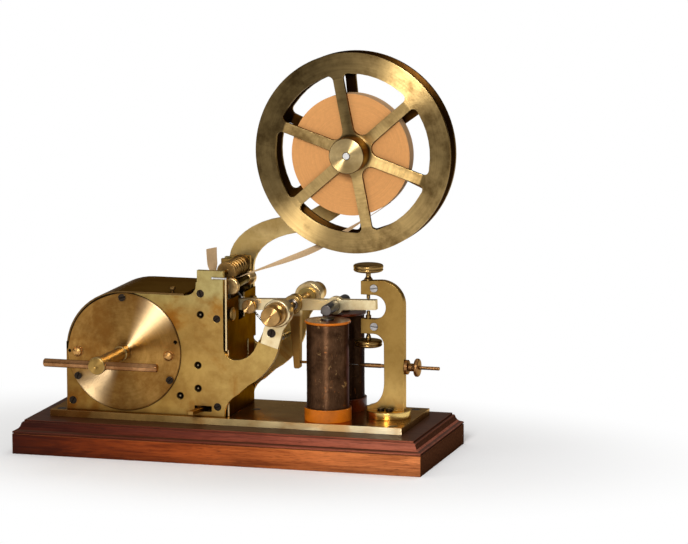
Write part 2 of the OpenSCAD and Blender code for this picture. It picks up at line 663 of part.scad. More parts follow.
// Lever: drawn level with its pivot at the origin, then tilted
module tilted() {
    translate([PIVOT.x, 0, PIVOT.y]) rotate([0, -tilt, 0]) children();
}
EYE = [38.6, -1.1];
KNOB = [-39.5, -1.1];
STYLUS = [-61, -0.4];
tip_x = 76.6;
module armature_lever() {
    color(BRIGHT) {
        tilted() difference() {
            slab(mid_y - 3.5, mid_y + 3.5) {
                polygon([[-64, -5.4], [-64, 4.6], [0, 4.6], [tip_x, 4], [tip_x, -4.8], [0, -5.4]]);
                translate(EYE) circle(8);
                polygon([[-4.2, -4], [6.2, -4], [3.6, -57.4], [2.6, -58.4], [-1, -58.4], [-1.9, -57.4]]);
            }
            rod([0, 0], -20, 20, 10.1);
            rod(EYE, -20, 20, 10.1);
            rod(KNOB, mid_y - 4, mid_y + 4, 3.1);
            translate([STYLUS.x, mid_y, -7]) cylinder(h = 14, d = 3.1);
        }
        // Eyelet rod that holds the tension spring
        translate([56, mid_y, REG_Z]) rotate([0, 90, 0]) rotate_extrude()
            polygon([[0, 0], [1.2, 0], [1.2, 15.4], [0.65, 15.4], [0.65, 8], [0, 8]]);
    }
}
module lever_arbor() {
    color(STEEL) tilted() difference() {
        union() {
            rod([0, 0], front_in + 4, back_in - 4, 6.6);
            rod([0, 0], mid_y - 6.4, mid_y - 3.5 - eps, 17.2);
            rod([0, 0], mid_y + 3.5 + eps, mid_y + 6.4, 17.2);
            rod([0, 0], mid_y - 4, mid_y + 4, 10);
        }
        rod([0, 0], front_in, front_in + 9.5, 3.1);
        rod([0, 0], back_in - 9.5, back_in, 3.1);
    }
}
module armature() {
    color(IRON) tilted() rod(EYE, mid_y - 31, mid_y + 31, 10);
}
module stylus() {
    color(STEEL) tilted() {
        translate([STYLUS.x, mid_y, -7]) cylinder(h = 14, d = 3);
        translate([STYLUS.x, mid_y, 6.9]) cylinder(h = 15.6, d1 = 3, d2 = 1);
    }
}
module stylus_knob() {
    color(BRIGHT) tilted() {
        turned(KNOB, mid_y - 13, [[0, 0], [6, 0], [6.3, 0.4], [6.3, 4.8], [5.8, 5.4], [2.6, 6], [2.6, 9.3], [0, 9.3]]);
        rod(KNOB, mid_y - 4, mid_y + 3.4, 3);
    }
}

// Lever pivots; the back ones mirror the front ones
module mirrored_back() {
    translate([0, sum_y, 0]) mirror([0, 1, 0]) children();
}
module pivot_block() {
    difference() {
        union() {
            slab(front_y, front_y + 2.4) difference() {
                intersection() {
                    polygon(concat([[33.2, 105.2], [36.2, 118.5], [41.5, 131]], arc(PIVOT, 11.8, 170, -20, 9),
                        [[54, 117.6], [49.1, 100.4]]));
                    pivot_lap();
                }
            }
            turned(PIVOT, front_y - 12, [[0, 0], [11.4, 0], [12.4, 1], [12.4, 12.1], [0, 12.1]]);
        }
        rod(PIVOT, front_y - 13, front_y + 6, 8.1);
        rod(LAP_SCREW, front_y - 1, front_y + 1.2, 7.7);
        rod(LAP_SCREW, front_y - 1, front_in + 1, 3.1);
    }
}
module pivot_screw() {
    y = front_y - 30.5;
    turned(PIVOT, y, [[0, 0], [8.2, 0], [8.9, 0.7], [8.9, 8.2], [8.2, 9], [6.4, 9.8], [6.4, 11.6], [9.6, 12.4],
        [10.4, 13.2], [10.4, 16], [9.6, 16.8], [4, 17.4], [4, 34], [4, 37.2], [1.5, 38.6], [1.5, 43.6], [0, 43.6]]);
}
module front_pivot_block() { color(BRIGHT) pivot_block(); }
module back_pivot_block() { color(BRIGHT) mirrored_back() pivot_block(); }
module front_pivot_screw() { color(BRASS) pivot_screw(); }
module back_pivot_screw() { color(BRASS) mirrored_back() pivot_screw(); }

// Electromagnet
module bobbin(y) {
    color(AMBER) translate([ARMATURE_X, y, bed]) rotate_extrude() polygon([[6.15, 0], [21, 0], [21, 11.3],
        [8, 11.3], [8, 87.3], [20.2, 87.3], [20.6, 87.8], [20.6, 89], [20.2, 89.5], [6.15, 89.5]]);
}
module winding(y) {
    color(WRAP) translate([ARMATURE_X, y, bed + 11.3 + eps]) rotate_extrude()
        polygon([[8.02, 0], [coil_r, 0], [coil_r, 76 - 2 * eps], [8.02, 76 - 2 * eps]]);
}
module front_bobbin() { bobbin(COIL_Y[0]); }
module back_bobbin() { bobbin(COIL_Y[1]); }
module front_winding() { winding(COIL_Y[0]); }
module back_winding() { winding(COIL_Y[1]); }
module magnet_core() {
    color(IRON) {
        for (y = COIL_Y) post(ARMATURE_X, y, board_z - 1, bed + 91, 12);
        translate([82, mid_y - 35, board_z - 7.2]) cube([16, 70, 7]);
    }
}

// Contact bracket
module bracket_outline() {
    polygon(concat([[114.6, 158.4], [132.5, 159.4]], arc([132.3, 137.4], 22, 84, 0, 9), [[154.3, 42.7], [120.3, 42.7],
        [120.3, 45.4]], bezier([[122, 46.2], [131, 48], [136, 55], [136, 69]], 6),
        arc([125.8, 101.2], 10, 0, 90, 6), [[114.5, 111.2], [114.5, 124.2]], arc([126.6, 135.3], 11, -90, 90, 12),
        [[114.6, 146.4]]));
}
module contact_bracket() {
    color(BRASS) difference() {
        union() {
            slab(BRACKET_Y, BRACKET_Y + 8) bracket_outline();
            post(FOOT.x, FOOT.y, bed, bed + 6.6, 39.8);
        }
        for (x = FOOT_SCREWS) post(FOOT.x + x, FOOT.y - 9, bed - 1, bed + 8, 3.1);
        post(CONTACT_X, mid_y, 145, 160, 3.6);
        post(CONTACT_X, mid_y, 110, 125, 3.6);
        for (z = [152.2, 117.6]) {
            translate([110, mid_y - 0.4, z - 10]) cube([13.5, 0.8, 20]);
            rod([126.6, z], BRACKET_Y - 1, BRACKET_Y + 9, 3.1);
            rod([126.6, z], BRACKET_Y - 1, BRACKET_Y + 1.4, 7.1);
        }
        translate([130, mid_y, REG_Z]) rotate([0, 90, 0]) cylinder(h = 30, d = 6.1);
    }
}
module clamp_screws() {
    color(STEEL) for (i = [0:1]) front_screw([126.6, [152.2, 117.6][i]], BRACKET_Y - 0.5, 8, 3, 6.9, [8, -3][i]);
}
rim_knob = [[0, 0], [10.6, 0], [12.4, 0.8], [13.3, 1.8], [12.8, 2.9], [13.5, 4], [13.2, 5.2], [12, 6.2], [0, 6.6]];
module upper_contact_screw() {
    low = PIVOT.y + (CONTACT_X - PIVOT.x) * tan(tilt) + 4.5 + gap;
    color(BRASS) {
        post(CONTACT_X, mid_y, low, 160, 3.5);
        translate([CONTACT_X, mid_y, 159.2]) rotate_extrude()
            polygon([[0, 0], [4.2, 0], [3.6, 1.2], [2.4, 2.6], [2.2, 4], [2.3, 6], [3.4, 8], [0, 8.1]]);
        translate([CONTACT_X, mid_y, 166.6]) rotate_extrude() polygon(rim_knob);
    }
}
module lower_contact_screw() {
    high = PIVOT.y + (CONTACT_X - PIVOT.x) * tan(tilt) - 4.5 - 70 * sin(lever_play) - gap - 0.1;
    color(BRASS) {
        post(CONTACT_X, mid_y, 100, high, 3.5);
        post(CONTACT_X, mid_y, 125, high - 1.4, 5.4);
        translate([CONTACT_X, mid_y, 99]) rotate_extrude() polygon([for (p = rim_knob) [p.x * 0.92, p.y]]);
        translate([CONTACT_X, mid_y, 105.3]) rotate_extrude() polygon([[0, 0], [3.4, 0], [2.3, 1.8], [2.3, 3.6], [0, 3.6]]);
    }
}

// Spring regulator
module regulator_bush() {
    color(BRASS) translate([154.3, mid_y, REG_Z]) rotate([0, 90, 0]) difference() {
        translate([0, 0, -18]) union() {
            cylinder(h = 18.2, d = 6);
            translate([0, 0, 18]) rotate_extrude() polygon([[0, 0.02], [6, 0.02], [6.6, 0.6], [6.6, 3], [5.8, 3.6], [3.6, 4],
                [3.6, 7], [0, 7]]);
        }
        translate([0, 0, -20]) cylinder(h = 30, d = 3.5);
    }
}
module regulator_rod() {
    color(BRASS) translate([111.2, mid_y, REG_Z]) rotate([0, 90, 0]) difference() {
        rotate_extrude() polygon([[0, 0], [1.1, 0.2], [2, 7], [2, 21], [1.7, 21.4], [1.7, 74.4], [1.2, 75], [0, 75]]);
        translate([0, 0, -1]) cylinder(h = 8, d = 1.3);
    }
}
module regulator_nut() {
    color(BRASS) translate([161.7, mid_y, REG_Z]) rotate([0, 90, 0]) difference() {
        rotate_extrude() polygon([[0, 0], [3.6, 0], [3.6, 1.4], [7.2, 2], [8.2, 3], [8.2, 5], [7.2, 6], [3, 6.4], [0, 6.4]]);
        translate([0, 0, -1]) cylinder(h = 9, d = 3.5);
    }
}
// Tension spring between the lever's lower arm and the regulator rod
SPRING_A = 68.6;
SPRING_B = 114.6;
wire_d = 0.9;
curl_r = 2.6;
function spring_path() = let(n = spring_curls * 8, x0 = 76, x1 = 98) concat(
    [[SPRING_A, 0, 0], [x0 - wire_d, 0, 0]],
    [for (i = [0:n]) let(a = 360 * i / 8, grow = min(1, i / 4, (n - i) / 4))
        [x0 + (x1 - x0) * i / n, curl_r * grow * cos(a), curl_r * grow * sin(a)]],
    [[x1 + wire_d, 0, 0], [SPRING_B, 0, 0]]);
function tube_rings(p, r, s) = [for (i = [0:len(p) - 1]) let(
    d = unit(p[min(len(p) - 1, i + 1)] - p[max(0, i - 1)]), u = unit(cross(d, [0.3, 1, 0.2])), v = cross(d, u))
    [for (k = [0:s - 1]) p[i] + r * (cos(360 * k / s) * u + sin(360 * k / s) * v)]];
module tube(p, r, s) sweep(tube_rings(p, r, s));
module sweep(rings) {
    n = len(rings);
    s = len(rings[0]);
    polyhedron(points = [for (q = rings) each q], faces = concat(
        [[for (k = [0:s - 1]) k]],
        [for (i = [0:n - 2], k = [0:s - 1]) each [[i * s + k, (i + 1) * s + k, (i + 1) * s + (k + 1) % s],
            [i * s + k, (i + 1) * s + (k + 1) % s, i * s + (k + 1) % s]]],
        [[for (k = [s - 1:-1:0]) (n - 1) * s + k]]));
}
spring_gap = let(p = spring_path(), n = len(p) - 1)
    min([for (i = [0:n], j = [i + 5:1:n]) norm(p[i] - p[j])]) - wire_d;
module regulator_spring() {
    echo(spring_least_gap_mm = spring_gap);
    color(STEEL) translate([0, mid_y, REG_Z]) tube(spring_path(), wire_d / 2, 6);
}

// Reel
module reel_arm() {
    outline = concat([[-23.3, 112], [-23.3, 163]],
        bezier([[-23, 167], [-21, 185], [-2, 201], [26.7, 205.8]], 8),
        bezier([[30, 206.4], [52, 209.5], [76, 218], [98, 262]], 8), arc(REEL, 13, 160, -40, 10),
        bezier([[117, 262], [98, 214], [70, 198], [43.2, 192.8]], 8),
        bezier([[40, 192], [18, 188], [1, 176], [-0.3, 160]], 8), [[-0.3, 112]]);
    color(BRASS) difference() {
        union() {
            slab(back_y, back_y + 4.5) polygon(outline);
            rod(REEL, 17.4, back_y + 1, 10);
            rod(REEL, -26.8, 18, 6);
        }
        for (p = [BACK_BLOCK, ARM_SCREW]) rod(p, back_y - 1, back_y + 6, 3.1);
    }
}
spoke_turn = 41.2;
module wheel_window(a) {
    step = 360 / spokes;
    near_half = 4.9;
    far_half = 4.6;
    far = asin(far_half / rim_r);
    p0 = near_half / sin(step / 2) * [cos(a + step / 2), sin(a + step / 2)];
    curve = arc([0, 0], rim_r, a + far + 7, a + step - far - 7, 6);
    corner_a = (rim_r + 1) * [cos(a + far), sin(a + far)];
    corner_b = (rim_r + 1) * [cos(a + step - far), sin(a + step - far)];
    polygon(rounded(concat([[p0.x, p0.y, 8]], [[corner_a.x, corner_a.y, 4.6]],
        [for (c = curve) [c.x, c.y, 0]], [[corner_b.x, corner_b.y, 4.6]]), 6));
}
module spoked_wheel(y, turn) {
    color(BRASS) slab(y, y + wheel_t) translate(REEL) difference() {
        circle(wheel_r, $fn = 96);
        circle(d = 12.05);
        for (i = [0:spokes - 1]) wheel_window(turn + i * 360 / spokes);
    }
}
reel_y0 = mid_y - 11;
reel_y1 = mid_y + 11;
module reel_front_wheel() { spoked_wheel(reel_y0, spoke_turn); }
module reel_back_wheel() { spoked_wheel(reel_y1 - wheel_t, spoke_turn - 5.4); }
module reel_hub() {
    color(BRIGHT) difference() {
        union() {
            turned(REEL, reel_y0 - 19.5, [[0, 0], [boss_r - 0.6, 0], [boss_r, 0.6], [boss_r, 19.48], [0, 19.48]]);
            rod(REEL, reel_y0 - 1, reel_y1, 12);
            rod(REEL, reel_y1 + eps, reel_y1 + 2, 24);
            rod(REEL, reel_y1 - 0.5, reel_y1 + 1, 12);
        }
        rod(REEL, -40, 40, 6.1);
    }
}
module paper_roll() {
    color(PAPER) slab(reel_y0 + wheel_t + 0.3, reel_y1 - wheel_t - 0.3) translate(ROLL) difference() {
        circle(roll_r, $fn = 96);
        circle(roll_bore);
    }
}

module stop_lever() {
    p = [-20, -26];
    color(BRASS) {
        post(p.x, p.y, bed - 3.8, bed + 1.4, 4);
        post(p.x, p.y, bed + 0.4, bed + 9, 7);
        translate([0, 0, bed + 5]) linear_extrude(3.2) {
            polygon([p + [-2.4, 1], p + [2.4, 1], p + [-3.6, -35], p + [-8.2, -34.4]]);
            polygon([p + [-1, 2.6], p + [-1, -2], [FLY.x - 1.8, p.y - 5.6], [FLY.x - 1.8, p.y - 2.2]]);
        }
        post(FLY.x, p.y - 4, bed + 5, FLY.y - 3, 2.4);
    }
}

base_block();
base_moulding();
base_plate();
base_plate_screws();
front_plate();
back_plate();
plate_pillars();
plate_screws();
train_bridge();
barrel_cover();
drum_cover();
end_cover();
end_cover_screws();
winding_key();
key_bar();
winding_arbor();
click();
spring_barrel();
mainspring();
centre_wheels();
governor_wheel();
governor_fly();
feed_wheels();
idler_wheel();
grooved_roller();
pressure_roller();
pressure_frame();
pressure_spring();
guide_bracket();
frame_pivot();
armature_lever();
lever_arbor();
armature();
stylus();
stylus_knob();
front_pivot_block();
back_pivot_block();
front_pivot_screw();
back_pivot_screw();
front_bobbin();
front_winding();
back_bobbin();
back_winding();
magnet_core();
contact_bracket();
clamp_screws();
upper_contact_screw();
lower_contact_screw();
regulator_bush();
regulator_rod();
regulator_nut();
regulator_spring();
reel_arm();
reel_hub();
reel_front_wheel();
reel_back_wheel();
paper_roll();
paper_tape();
stop_lever();
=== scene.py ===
import json
import math
from functools import reduce

import bmesh
import bpy
from mathutils import Matrix, Vector, noise
from mathutils.geometry import tessellate_polygon


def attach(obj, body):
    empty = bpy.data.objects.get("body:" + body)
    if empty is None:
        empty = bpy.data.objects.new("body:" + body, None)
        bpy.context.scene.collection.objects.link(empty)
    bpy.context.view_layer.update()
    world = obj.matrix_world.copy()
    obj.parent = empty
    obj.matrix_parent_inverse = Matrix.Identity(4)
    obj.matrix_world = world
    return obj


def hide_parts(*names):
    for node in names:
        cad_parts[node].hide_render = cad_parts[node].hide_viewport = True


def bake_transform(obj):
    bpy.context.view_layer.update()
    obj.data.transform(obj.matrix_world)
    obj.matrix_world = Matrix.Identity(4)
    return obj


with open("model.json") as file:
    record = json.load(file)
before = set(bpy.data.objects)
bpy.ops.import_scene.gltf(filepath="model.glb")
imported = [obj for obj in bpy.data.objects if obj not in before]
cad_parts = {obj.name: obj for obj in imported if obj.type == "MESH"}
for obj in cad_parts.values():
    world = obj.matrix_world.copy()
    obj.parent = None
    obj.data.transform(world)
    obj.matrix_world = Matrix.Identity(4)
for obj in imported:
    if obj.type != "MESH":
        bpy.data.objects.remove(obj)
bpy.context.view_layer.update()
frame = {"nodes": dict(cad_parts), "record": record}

NODES = frame["nodes"]
BODY = {node: body for body, names in frame["record"]["behaviour"]["bodies"].items() for node in names}
SLOT = {part["node"]: part["material_slot"] for part in frame["record"]["subparts"]}
scene = bpy.context.scene
scene.view_settings.view_transform = "Standard"

# Places shared with the CAD, in millimetres; a pair is the (x, z) place of an axis along Y
MM = 0.001
TAU = 2 * math.pi
MID_Y = 4.0                      # middle of the lever, the tape and the rollers
FRONT_Y, BACK_Y = -39.5, 46.0    # outer faces of the plates
BARREL = (-95.0, 91.5)
REEL = (109.0, 273.6)
REEL_FACES = (-7.0, 15.0)        # outer faces of the reel's two wheels
ROLL = (106.2, 271.8)
ROLL_R = 54.3
PIVOT = (51.5, 134.5)            # the lever's arbor
TILT = math.radians(2.23)        # the lever's slope at rest
ROCK = math.radians(0.8)         # how far the lever rocks
ROLLER = (-5.245, 164.589)       # the grooved roller
ROLLER_L = 45.0
PRESS = (-0.045, 151.99)         # the pressure roller
CONTACT_X = 120.5
REG_Z = 81.8                     # height of the tension rod
COIL_X = 90.0
COILS = {"front": -21.0, "back": 29.0}
OIL_HOLES = [(-25.6, 82.36), (-22.95, 128.29), (-25.6, 61.36), (-42.5, 53.84)]

# Camera fitted to the photograph: degrees, pixels of the photograph, metres
YAW, PITCH, ROLLED = 16.26, 9.24, -0.17
FOCAL_PX, PHOTO_W, SENSOR_MM = 4033.1, 688, 36
CAMERA_AT = (1.0918, -3.4037, 0.7427)


def new_object(name, data):
    obj = bpy.data.objects.new(name, data)
    scene.collection.objects.link(obj)
    return obj


def make_camera():
    data = bpy.data.cameras.new("camera")
    data.sensor_width = SENSOR_MM
    data.lens = FOCAL_PX * SENSOR_MM / PHOTO_W
    data.clip_end = 50
    scene.camera = new_object("camera", data)
    scene.camera.matrix_world = Matrix.Translation(CAMERA_AT)
    for angle, axis in ((YAW, "Z"), (90 - PITCH, "X"), (ROLLED, "Z")):
        scene.camera.matrix_world @= Matrix.Rotation(math.radians(angle), 4, axis)


make_camera()


class Graph:
    """One material: a Principled shader and short calls for the nodes before it, lengths in millimetres."""

    def __init__(self, name, colour):
        self.mat = bpy.data.materials.new(name)
        self.mat.use_nodes = True
        self.tree = self.mat.node_tree
        self.tree.nodes.clear()
        self.out = self.add("OutputMaterial")
        self.shader = self.add("BsdfPrincipled")
        self.link(self.shader.outputs[0], self.out.inputs["Surface"])
        self.coord = self.add("TexCoord").outputs["Object"]
        self.colour = colour

    def add(self, kind, inputs={}, **settings):
        """A node, with values or links for its inputs by name or number."""
        n = self.tree.nodes.new("ShaderNode" + kind)
        for k, v in settings.items():
            setattr(n, k, v)
        for k, v in inputs.items():
            self.put(n.inputs[k], v)
        return n

    def link(self, a, b):
        self.tree.links.new(a, b)

    def put(self, socket, value):
        if isinstance(value, bpy.types.NodeSocket):
            self.link(value, socket)
        elif isinstance(value, tuple) and len(value) == 3 and socket.type == "RGBA":
            socket.default_value = (*value, 1)
        else:
            socket.default_value = value

    def set(self, **values):
        """Sets the shader's sockets, by their names with _ for a space."""
        for key, v in values.items():
            self.put(self.shader.inputs[key.replace("_", " ")], v)

    # Vectors
    def mapping(self, scale=(1, 1, 1), loc=(0, 0, 0), rot=(0, 0, 0)):
        inputs = {0: self.coord, "Scale": scale, "Location": loc, "Rotation": rot}
        return self.add("Mapping", inputs).outputs[0]

    def split(self, vector=None):
        return self.add("SeparateXYZ", {0: vector or self.coord}).outputs

    def join(self, *xyz):
        return self.add("CombineXYZ", dict(enumerate(xyz))).outputs[0]

    # Numbers
    def noise(self, scale, detail=4, rough=0.55, vector=None, distort=0.0):
        return self.add("TexNoise", {"Vector": vector or self.coord, "Scale": scale, "Detail": detail,
                                     "Roughness": rough, "Distortion": distort}).outputs["Fac"]

    def math(self, op, *values, clamp=False):
        return self.add("Math", dict(enumerate(values)), operation=op, use_clamp=clamp).outputs[0]

    def mul(self, a, b):
        return self.math("MULTIPLY", a, b)

    def plus(self, a, b, clamp=False):
        return self.math("ADD", a, b, clamp=clamp)

    def minus(self, a, b):
        return self.math("SUBTRACT", a, b)

    def flip(self, mask):
        return self.minus(1.0, mask)

    def apart(self, a, b):
        return self.math("ABSOLUTE", self.minus(a, b))

    def any_of(self, masks):
        return reduce(lambda a, b: self.math("MAXIMUM", a, b), masks)

    def span(self, value, lo, hi, to_lo=0.0, to_hi=1.0, smooth=False):
        ends = {"Value": value, "From Min": lo, "From Max": hi, "To Min": to_lo, "To Max": to_hi}
        return self.add("MapRange", ends, interpolation_type="SMOOTHSTEP" if smooth else "LINEAR").outputs[0]

    # Masks by place
    def along(self, axis, lo, hi, to_lo=0.0, to_hi=1.0, smooth=False):
        return self.span(self.split()["XYZ".index(axis)], lo * MM, hi * MM, to_lo, to_hi, smooth)

    def polar(self, centre):
        """Distance from the axis along Y through centre, in metres, and the angle round it."""
        x, _, z = self.split(self.mapping(loc=(-centre[0] * MM, 0, -centre[1] * MM)))
        return self.math("SQRT", self.plus(self.mul(x, x), self.mul(z, z))), self.math("ARCTAN2", z, x)

    def spot(self, centre, inner, outer, top=1.0, smooth=False):
        """A round spot: top up to the inner radius, 0 from the outer one."""
        return self.span(self.polar(centre)[0], inner * MM, outer * MM, top, 0.0, smooth)

    # Masks by shape
    def facing(self, axis):
        """Component of the surface's own normal along an axis."""
        return self.split(self.add("TexCoord").outputs["Normal"])["XYZ".index(axis)]

    def faces(self, axis, lo, hi):
        """Faces across an axis, at both ends."""
        return self.span(self.math("ABSOLUTE", self.facing(axis)), lo, hi)

    def edges(self, radius):
        """Rounded normal, and how far it leaves the flat one: 1 on a sharp edge."""
        rounded = self.add("Bevel", {"Radius": radius * MM}, samples=4).outputs[0]
        flat = self.add("NewGeometry").outputs["Normal"]
        dot = self.add("VectorMath", {0: rounded, 1: flat}, operation="DOT_PRODUCT").outputs["Value"]
        return rounded, self.span(dot, 0.995, 0.86)

    def corners(self, reach, lo, hi, share):
        """Share of dirt and painted shade by how closed in a point is."""
        ao = self.add("AmbientOcclusion", {"Distance": reach * MM}, samples=6)
        return self.span(ao.outputs["AO"], lo, hi, share, 0.0)

    # Colours
    def mix(self, fac, a, b, mode="MIX"):
        return self.add("Mix", {0: fac, 6: a, 7: b}, data_type="RGBA", blend_type=mode).outputs[2]

    def ramp(self, value, stops, unit):
        """Colours at values given in a unit, blended between them."""
        lo, hi = stops[0][0], stops[-1][0]
        n = self.add("ValToRGB", {0: self.span(value, lo * unit, hi * unit)})
        e = n.color_ramp.elements
        while len(e) < len(stops):
            e.new(0.5)
        for item, (place, colour) in zip(e, stops):
            item.position = (place - lo) / (hi - lo)
            item.color = (*colour, 1)
        return n.outputs[0]

    def along_x(self, stops):
        """Colours at places along X."""
        return self.ramp(self.split()[0], stops, MM)

    def paint(self, mask, colour):
        """Lays a colour over the others where the mask is 1."""
        self.colour = self.mix(mask, self.colour, colour)
        self.set(Base_Color=self.colour)

    def tint(self, mask, factors):
        """Multiplies the colour by factors where the mask is 1."""
        self.paint(mask, self.mix(1.0, self.colour, factors, "MULTIPLY"))

    # Surface
    def relief(self, height, distance, strength, normal=None):
        inputs = {"Height": height, "Distance": distance * MM, "Strength": strength}
        if normal:
            inputs["Normal"] = normal
        self.set(Normal=self.add("Bump", inputs).outputs[0])

    def shine(self, axis, amount):
        """Highlights spread as by fine lines round an axis."""
        tangent = self.add("Tangent", direction_type="RADIAL", axis=axis)
        self.set(Anisotropic=amount, Anisotropic_Rotation=0.25, Tangent=tangent.outputs[0])


def shade(colour, k):
    return tuple(c * k for c in colour)


def rubbed(colour, k, extra=0.0):
    return tuple(min(1.0, c * k + extra) for c in colour)


# Materials
BLACK = (0.012, 0.007, 0.003)
DARK_SHEET = ((0.15, 0.088, 0.024), (0.075, 0.04, 0.010), (0.34, 0.44))
DULL = (0.6, 0.42, 0.2)
# Painted light: colour factors for the plates along X, darker to the left, brighter to the right
PLATE_LIGHT_GRADE = [(-150, (0.52, 0.42, 0.30)), (-60, (0.74, 0.65, 0.5)), (-25, (0.84, 0.76, 0.66)),
               (10, (0.97, 0.94, 0.9)), (45, (1, 1, 1))]
# Painted light: colours of the bed's front faces along X, dark to the left, pale to the right
BED_FRONT_LIGHT = [(-165, (0.20, 0.075, 0.018)), (-60, (0.46, 0.27, 0.08)), (20, (0.74, 0.54, 0.25)),
            (150, (1.0, 0.84, 0.55))]
BED_LEAN = (0.05, 0.232)    # how far the normals of the bed's front face lean along X and Z
# Mahogany tones with painted light along X: dark to the left, bright to the right
BLOCK_TONES_AND_LIGHT = [(-190, (0.045, 0.005, 0.0006)), (-110, (0.19, 0.03, 0.004)), (-20, (0.40, 0.08, 0.014)),
               (60, (0.58, 0.15, 0.034)), (190, (0.74, 0.24, 0.075))]
BOARD_TONES_AND_LIGHT = [(-190, (0.04, 0.006, 0.002)), (-110, (0.08, 0.012, 0.004)), (-20, (0.16, 0.031, 0.015)),
               (60, (0.30, 0.07, 0.036)), (190, (0.45, 0.13, 0.07))]
# Painted light: brightness of the reel's rim and spokes at angles round it, in degrees
RIM_LIGHT = [(-180, 0.3), (-150, 0.42), (-132, 0.5), (-100, 0.9), (-70, 1.4), (-35, 0.85), (0, 0.4), (25, 0.7),
             (50, 0.95), (75, 0.85), (92, 0.5), (115, 0.3), (150, 0.26), (180, 0.3)]
SPOKE_LIGHT = [(-180, 0.8), (-120, 0.8), (-80, 1), (-45, 1.5), (-20, 2.2), (10, 1.3), (45, 0.75), (80, 0.32),
               (97, 0.2), (120, 0.5), (160, 0.9), (180, 0.8)]


def brass(name, light, dark, rough, brush=None, turned=None, aniso=1.0, dirt_and_shade=0.6, stain=(0.36, 0.64),
          wear=0.3, holes=(), patina=24.0, grade=None, face=None, graze=(0.85, 0.7, 0.48), bumps=0.45,
          side=None, rust=0.0):
    """Aged brass: clouds of patina, rubbed edges, dirt and painted shade in corners, brushed along brush or
    round turned.

    grade = painted light, as colour factors at places along X, face = colours with painted light of the faces
    to the front, graze = tint of flat glances, side = colour of the faces round a turned piece, rust = share
    of orange-brown stains, holes = oil sinks painted black as their shade.
    """
    g = Graph(name, dark)
    flat = g.faces("Y", 0.7, 0.9)
    fine = g.noise(170, 6, 0.65)
    field = g.plus(g.mul(g.noise(patina, 5, 0.55, distort=0.3), 0.7), g.mul(fine, 0.3))
    g.paint(g.span(field, *stain, smooth=True), light)
    # Painted light along X
    if grade:
        g.tint(1.0, g.along_x(grade))
    # Painted light on the faces to the front, along X
    if face:
        front = g.span(g.facing("Y"), -0.9, -0.6, 1.0, 0.0)
        g.paint(front, g.mix(g.span(field, 0.3, 0.7, 0.3, 0.0), g.along_x(face), shade(dark, 0.6)))
    if rust:
        blush = g.noise(15, 6, 0.6, distort=0.9)
        g.tint(g.span(blush, 0.48, 0.64, 0.0, rust, smooth=True), (0.76, 0.5, 0.26))
    spots = g.noise(95, 8, 0.7, distort=0.6)
    g.paint(g.span(spots, 0.64, 0.74, 0.0, 0.35, smooth=True), shade(dark, 0.5))
    rounded, edge = g.edges(0.6)
    g.paint(g.mul(edge, wear), rubbed(light, 1.4, 0.03))
    # Dirt and painted shade in corners
    g.paint(g.corners(12, 0.3, 0.95, dirt_and_shade), shade(dark, 0.16))
    # Painted shade: the oil sinks black
    for hole in holes:
        g.paint(g.spot(hole, 2.9, 4.0, 0.95, smooth=True), BLACK)
    height = g.mul(fine, 0.3)
    roughness = g.span(field, 0.3, 0.7, rough[1], rough[0])
    if brush:
        stretch = [30 if axis == brush else 1100 for axis in "XYZ"]
        height = g.plus(height, g.noise(1.0, 3, 0.6, vector=g.mapping(scale=stretch)))
    if turned:
        r, angle = g.polar(turned)
        lines = g.noise(1.0, 3, 0.6, vector=g.join(g.mul(r, 2600), 0, 0))
        height = g.plus(height, g.mul(lines, flat))
        arcs = g.noise(1.0, 4, 0.6, vector=g.join(g.mul(r, 520), g.mul(angle, 1.4), 0))
        g.paint(g.span(arcs, 0.35, 0.68, 0.0, 0.3), shade(dark, 0.8))
        roughness = g.plus(roughness, g.span(arcs, 0.3, 0.7, -0.03, 0.04))
        g.shine("Y", g.mul(flat, aniso))
    if side:
        g.paint(g.flip(flat), side)
    if face:
        lean = g.join(g.mul(front, BED_LEAN[0]), 0, g.mul(front, BED_LEAN[1]))
        leant = g.add("VectorMath", {0: rounded, 1: lean}, operation="ADD").outputs[0]
        rounded = g.add("VectorMath", {0: leant}, operation="NORMALIZE").outputs[0]
    g.set(Metallic=1.0, Roughness=roughness, Specular_Tint=graze)
    g.relief(height, 0.03, bumps, rounded)
    return g


def steel(name, colour, rough):
    g = Graph(name, shade(colour, 0.55))
    n = g.noise(140, 6, 0.65)
    g.paint(g.span(n, 0.35, 0.65), colour)
    rounded, edge = g.edges(0.4)
    g.paint(g.mul(edge, 0.4), rubbed(colour, 1.8, 0.04))
    # Painted shade in the slots and corners
    g.paint(g.corners(1.6, 0.35, 0.85, 0.92), shade(BLACK, 0.5))
    g.set(Metallic=1.0, Roughness=g.span(n, 0.3, 0.7, rough + 0.1, rough - 0.06))
    g.relief(g.noise(800, 3), 0.04, 0.4, rounded)
    return g


def iron_metal():
    """Dark iron, lighter on its end faces."""
    g = steel("soft_iron", (0.19, 0.165, 0.15), 0.36)
    g.paint(g.faces("Y", 0.9, 0.5), (0.05, 0.044, 0.04))
    return g


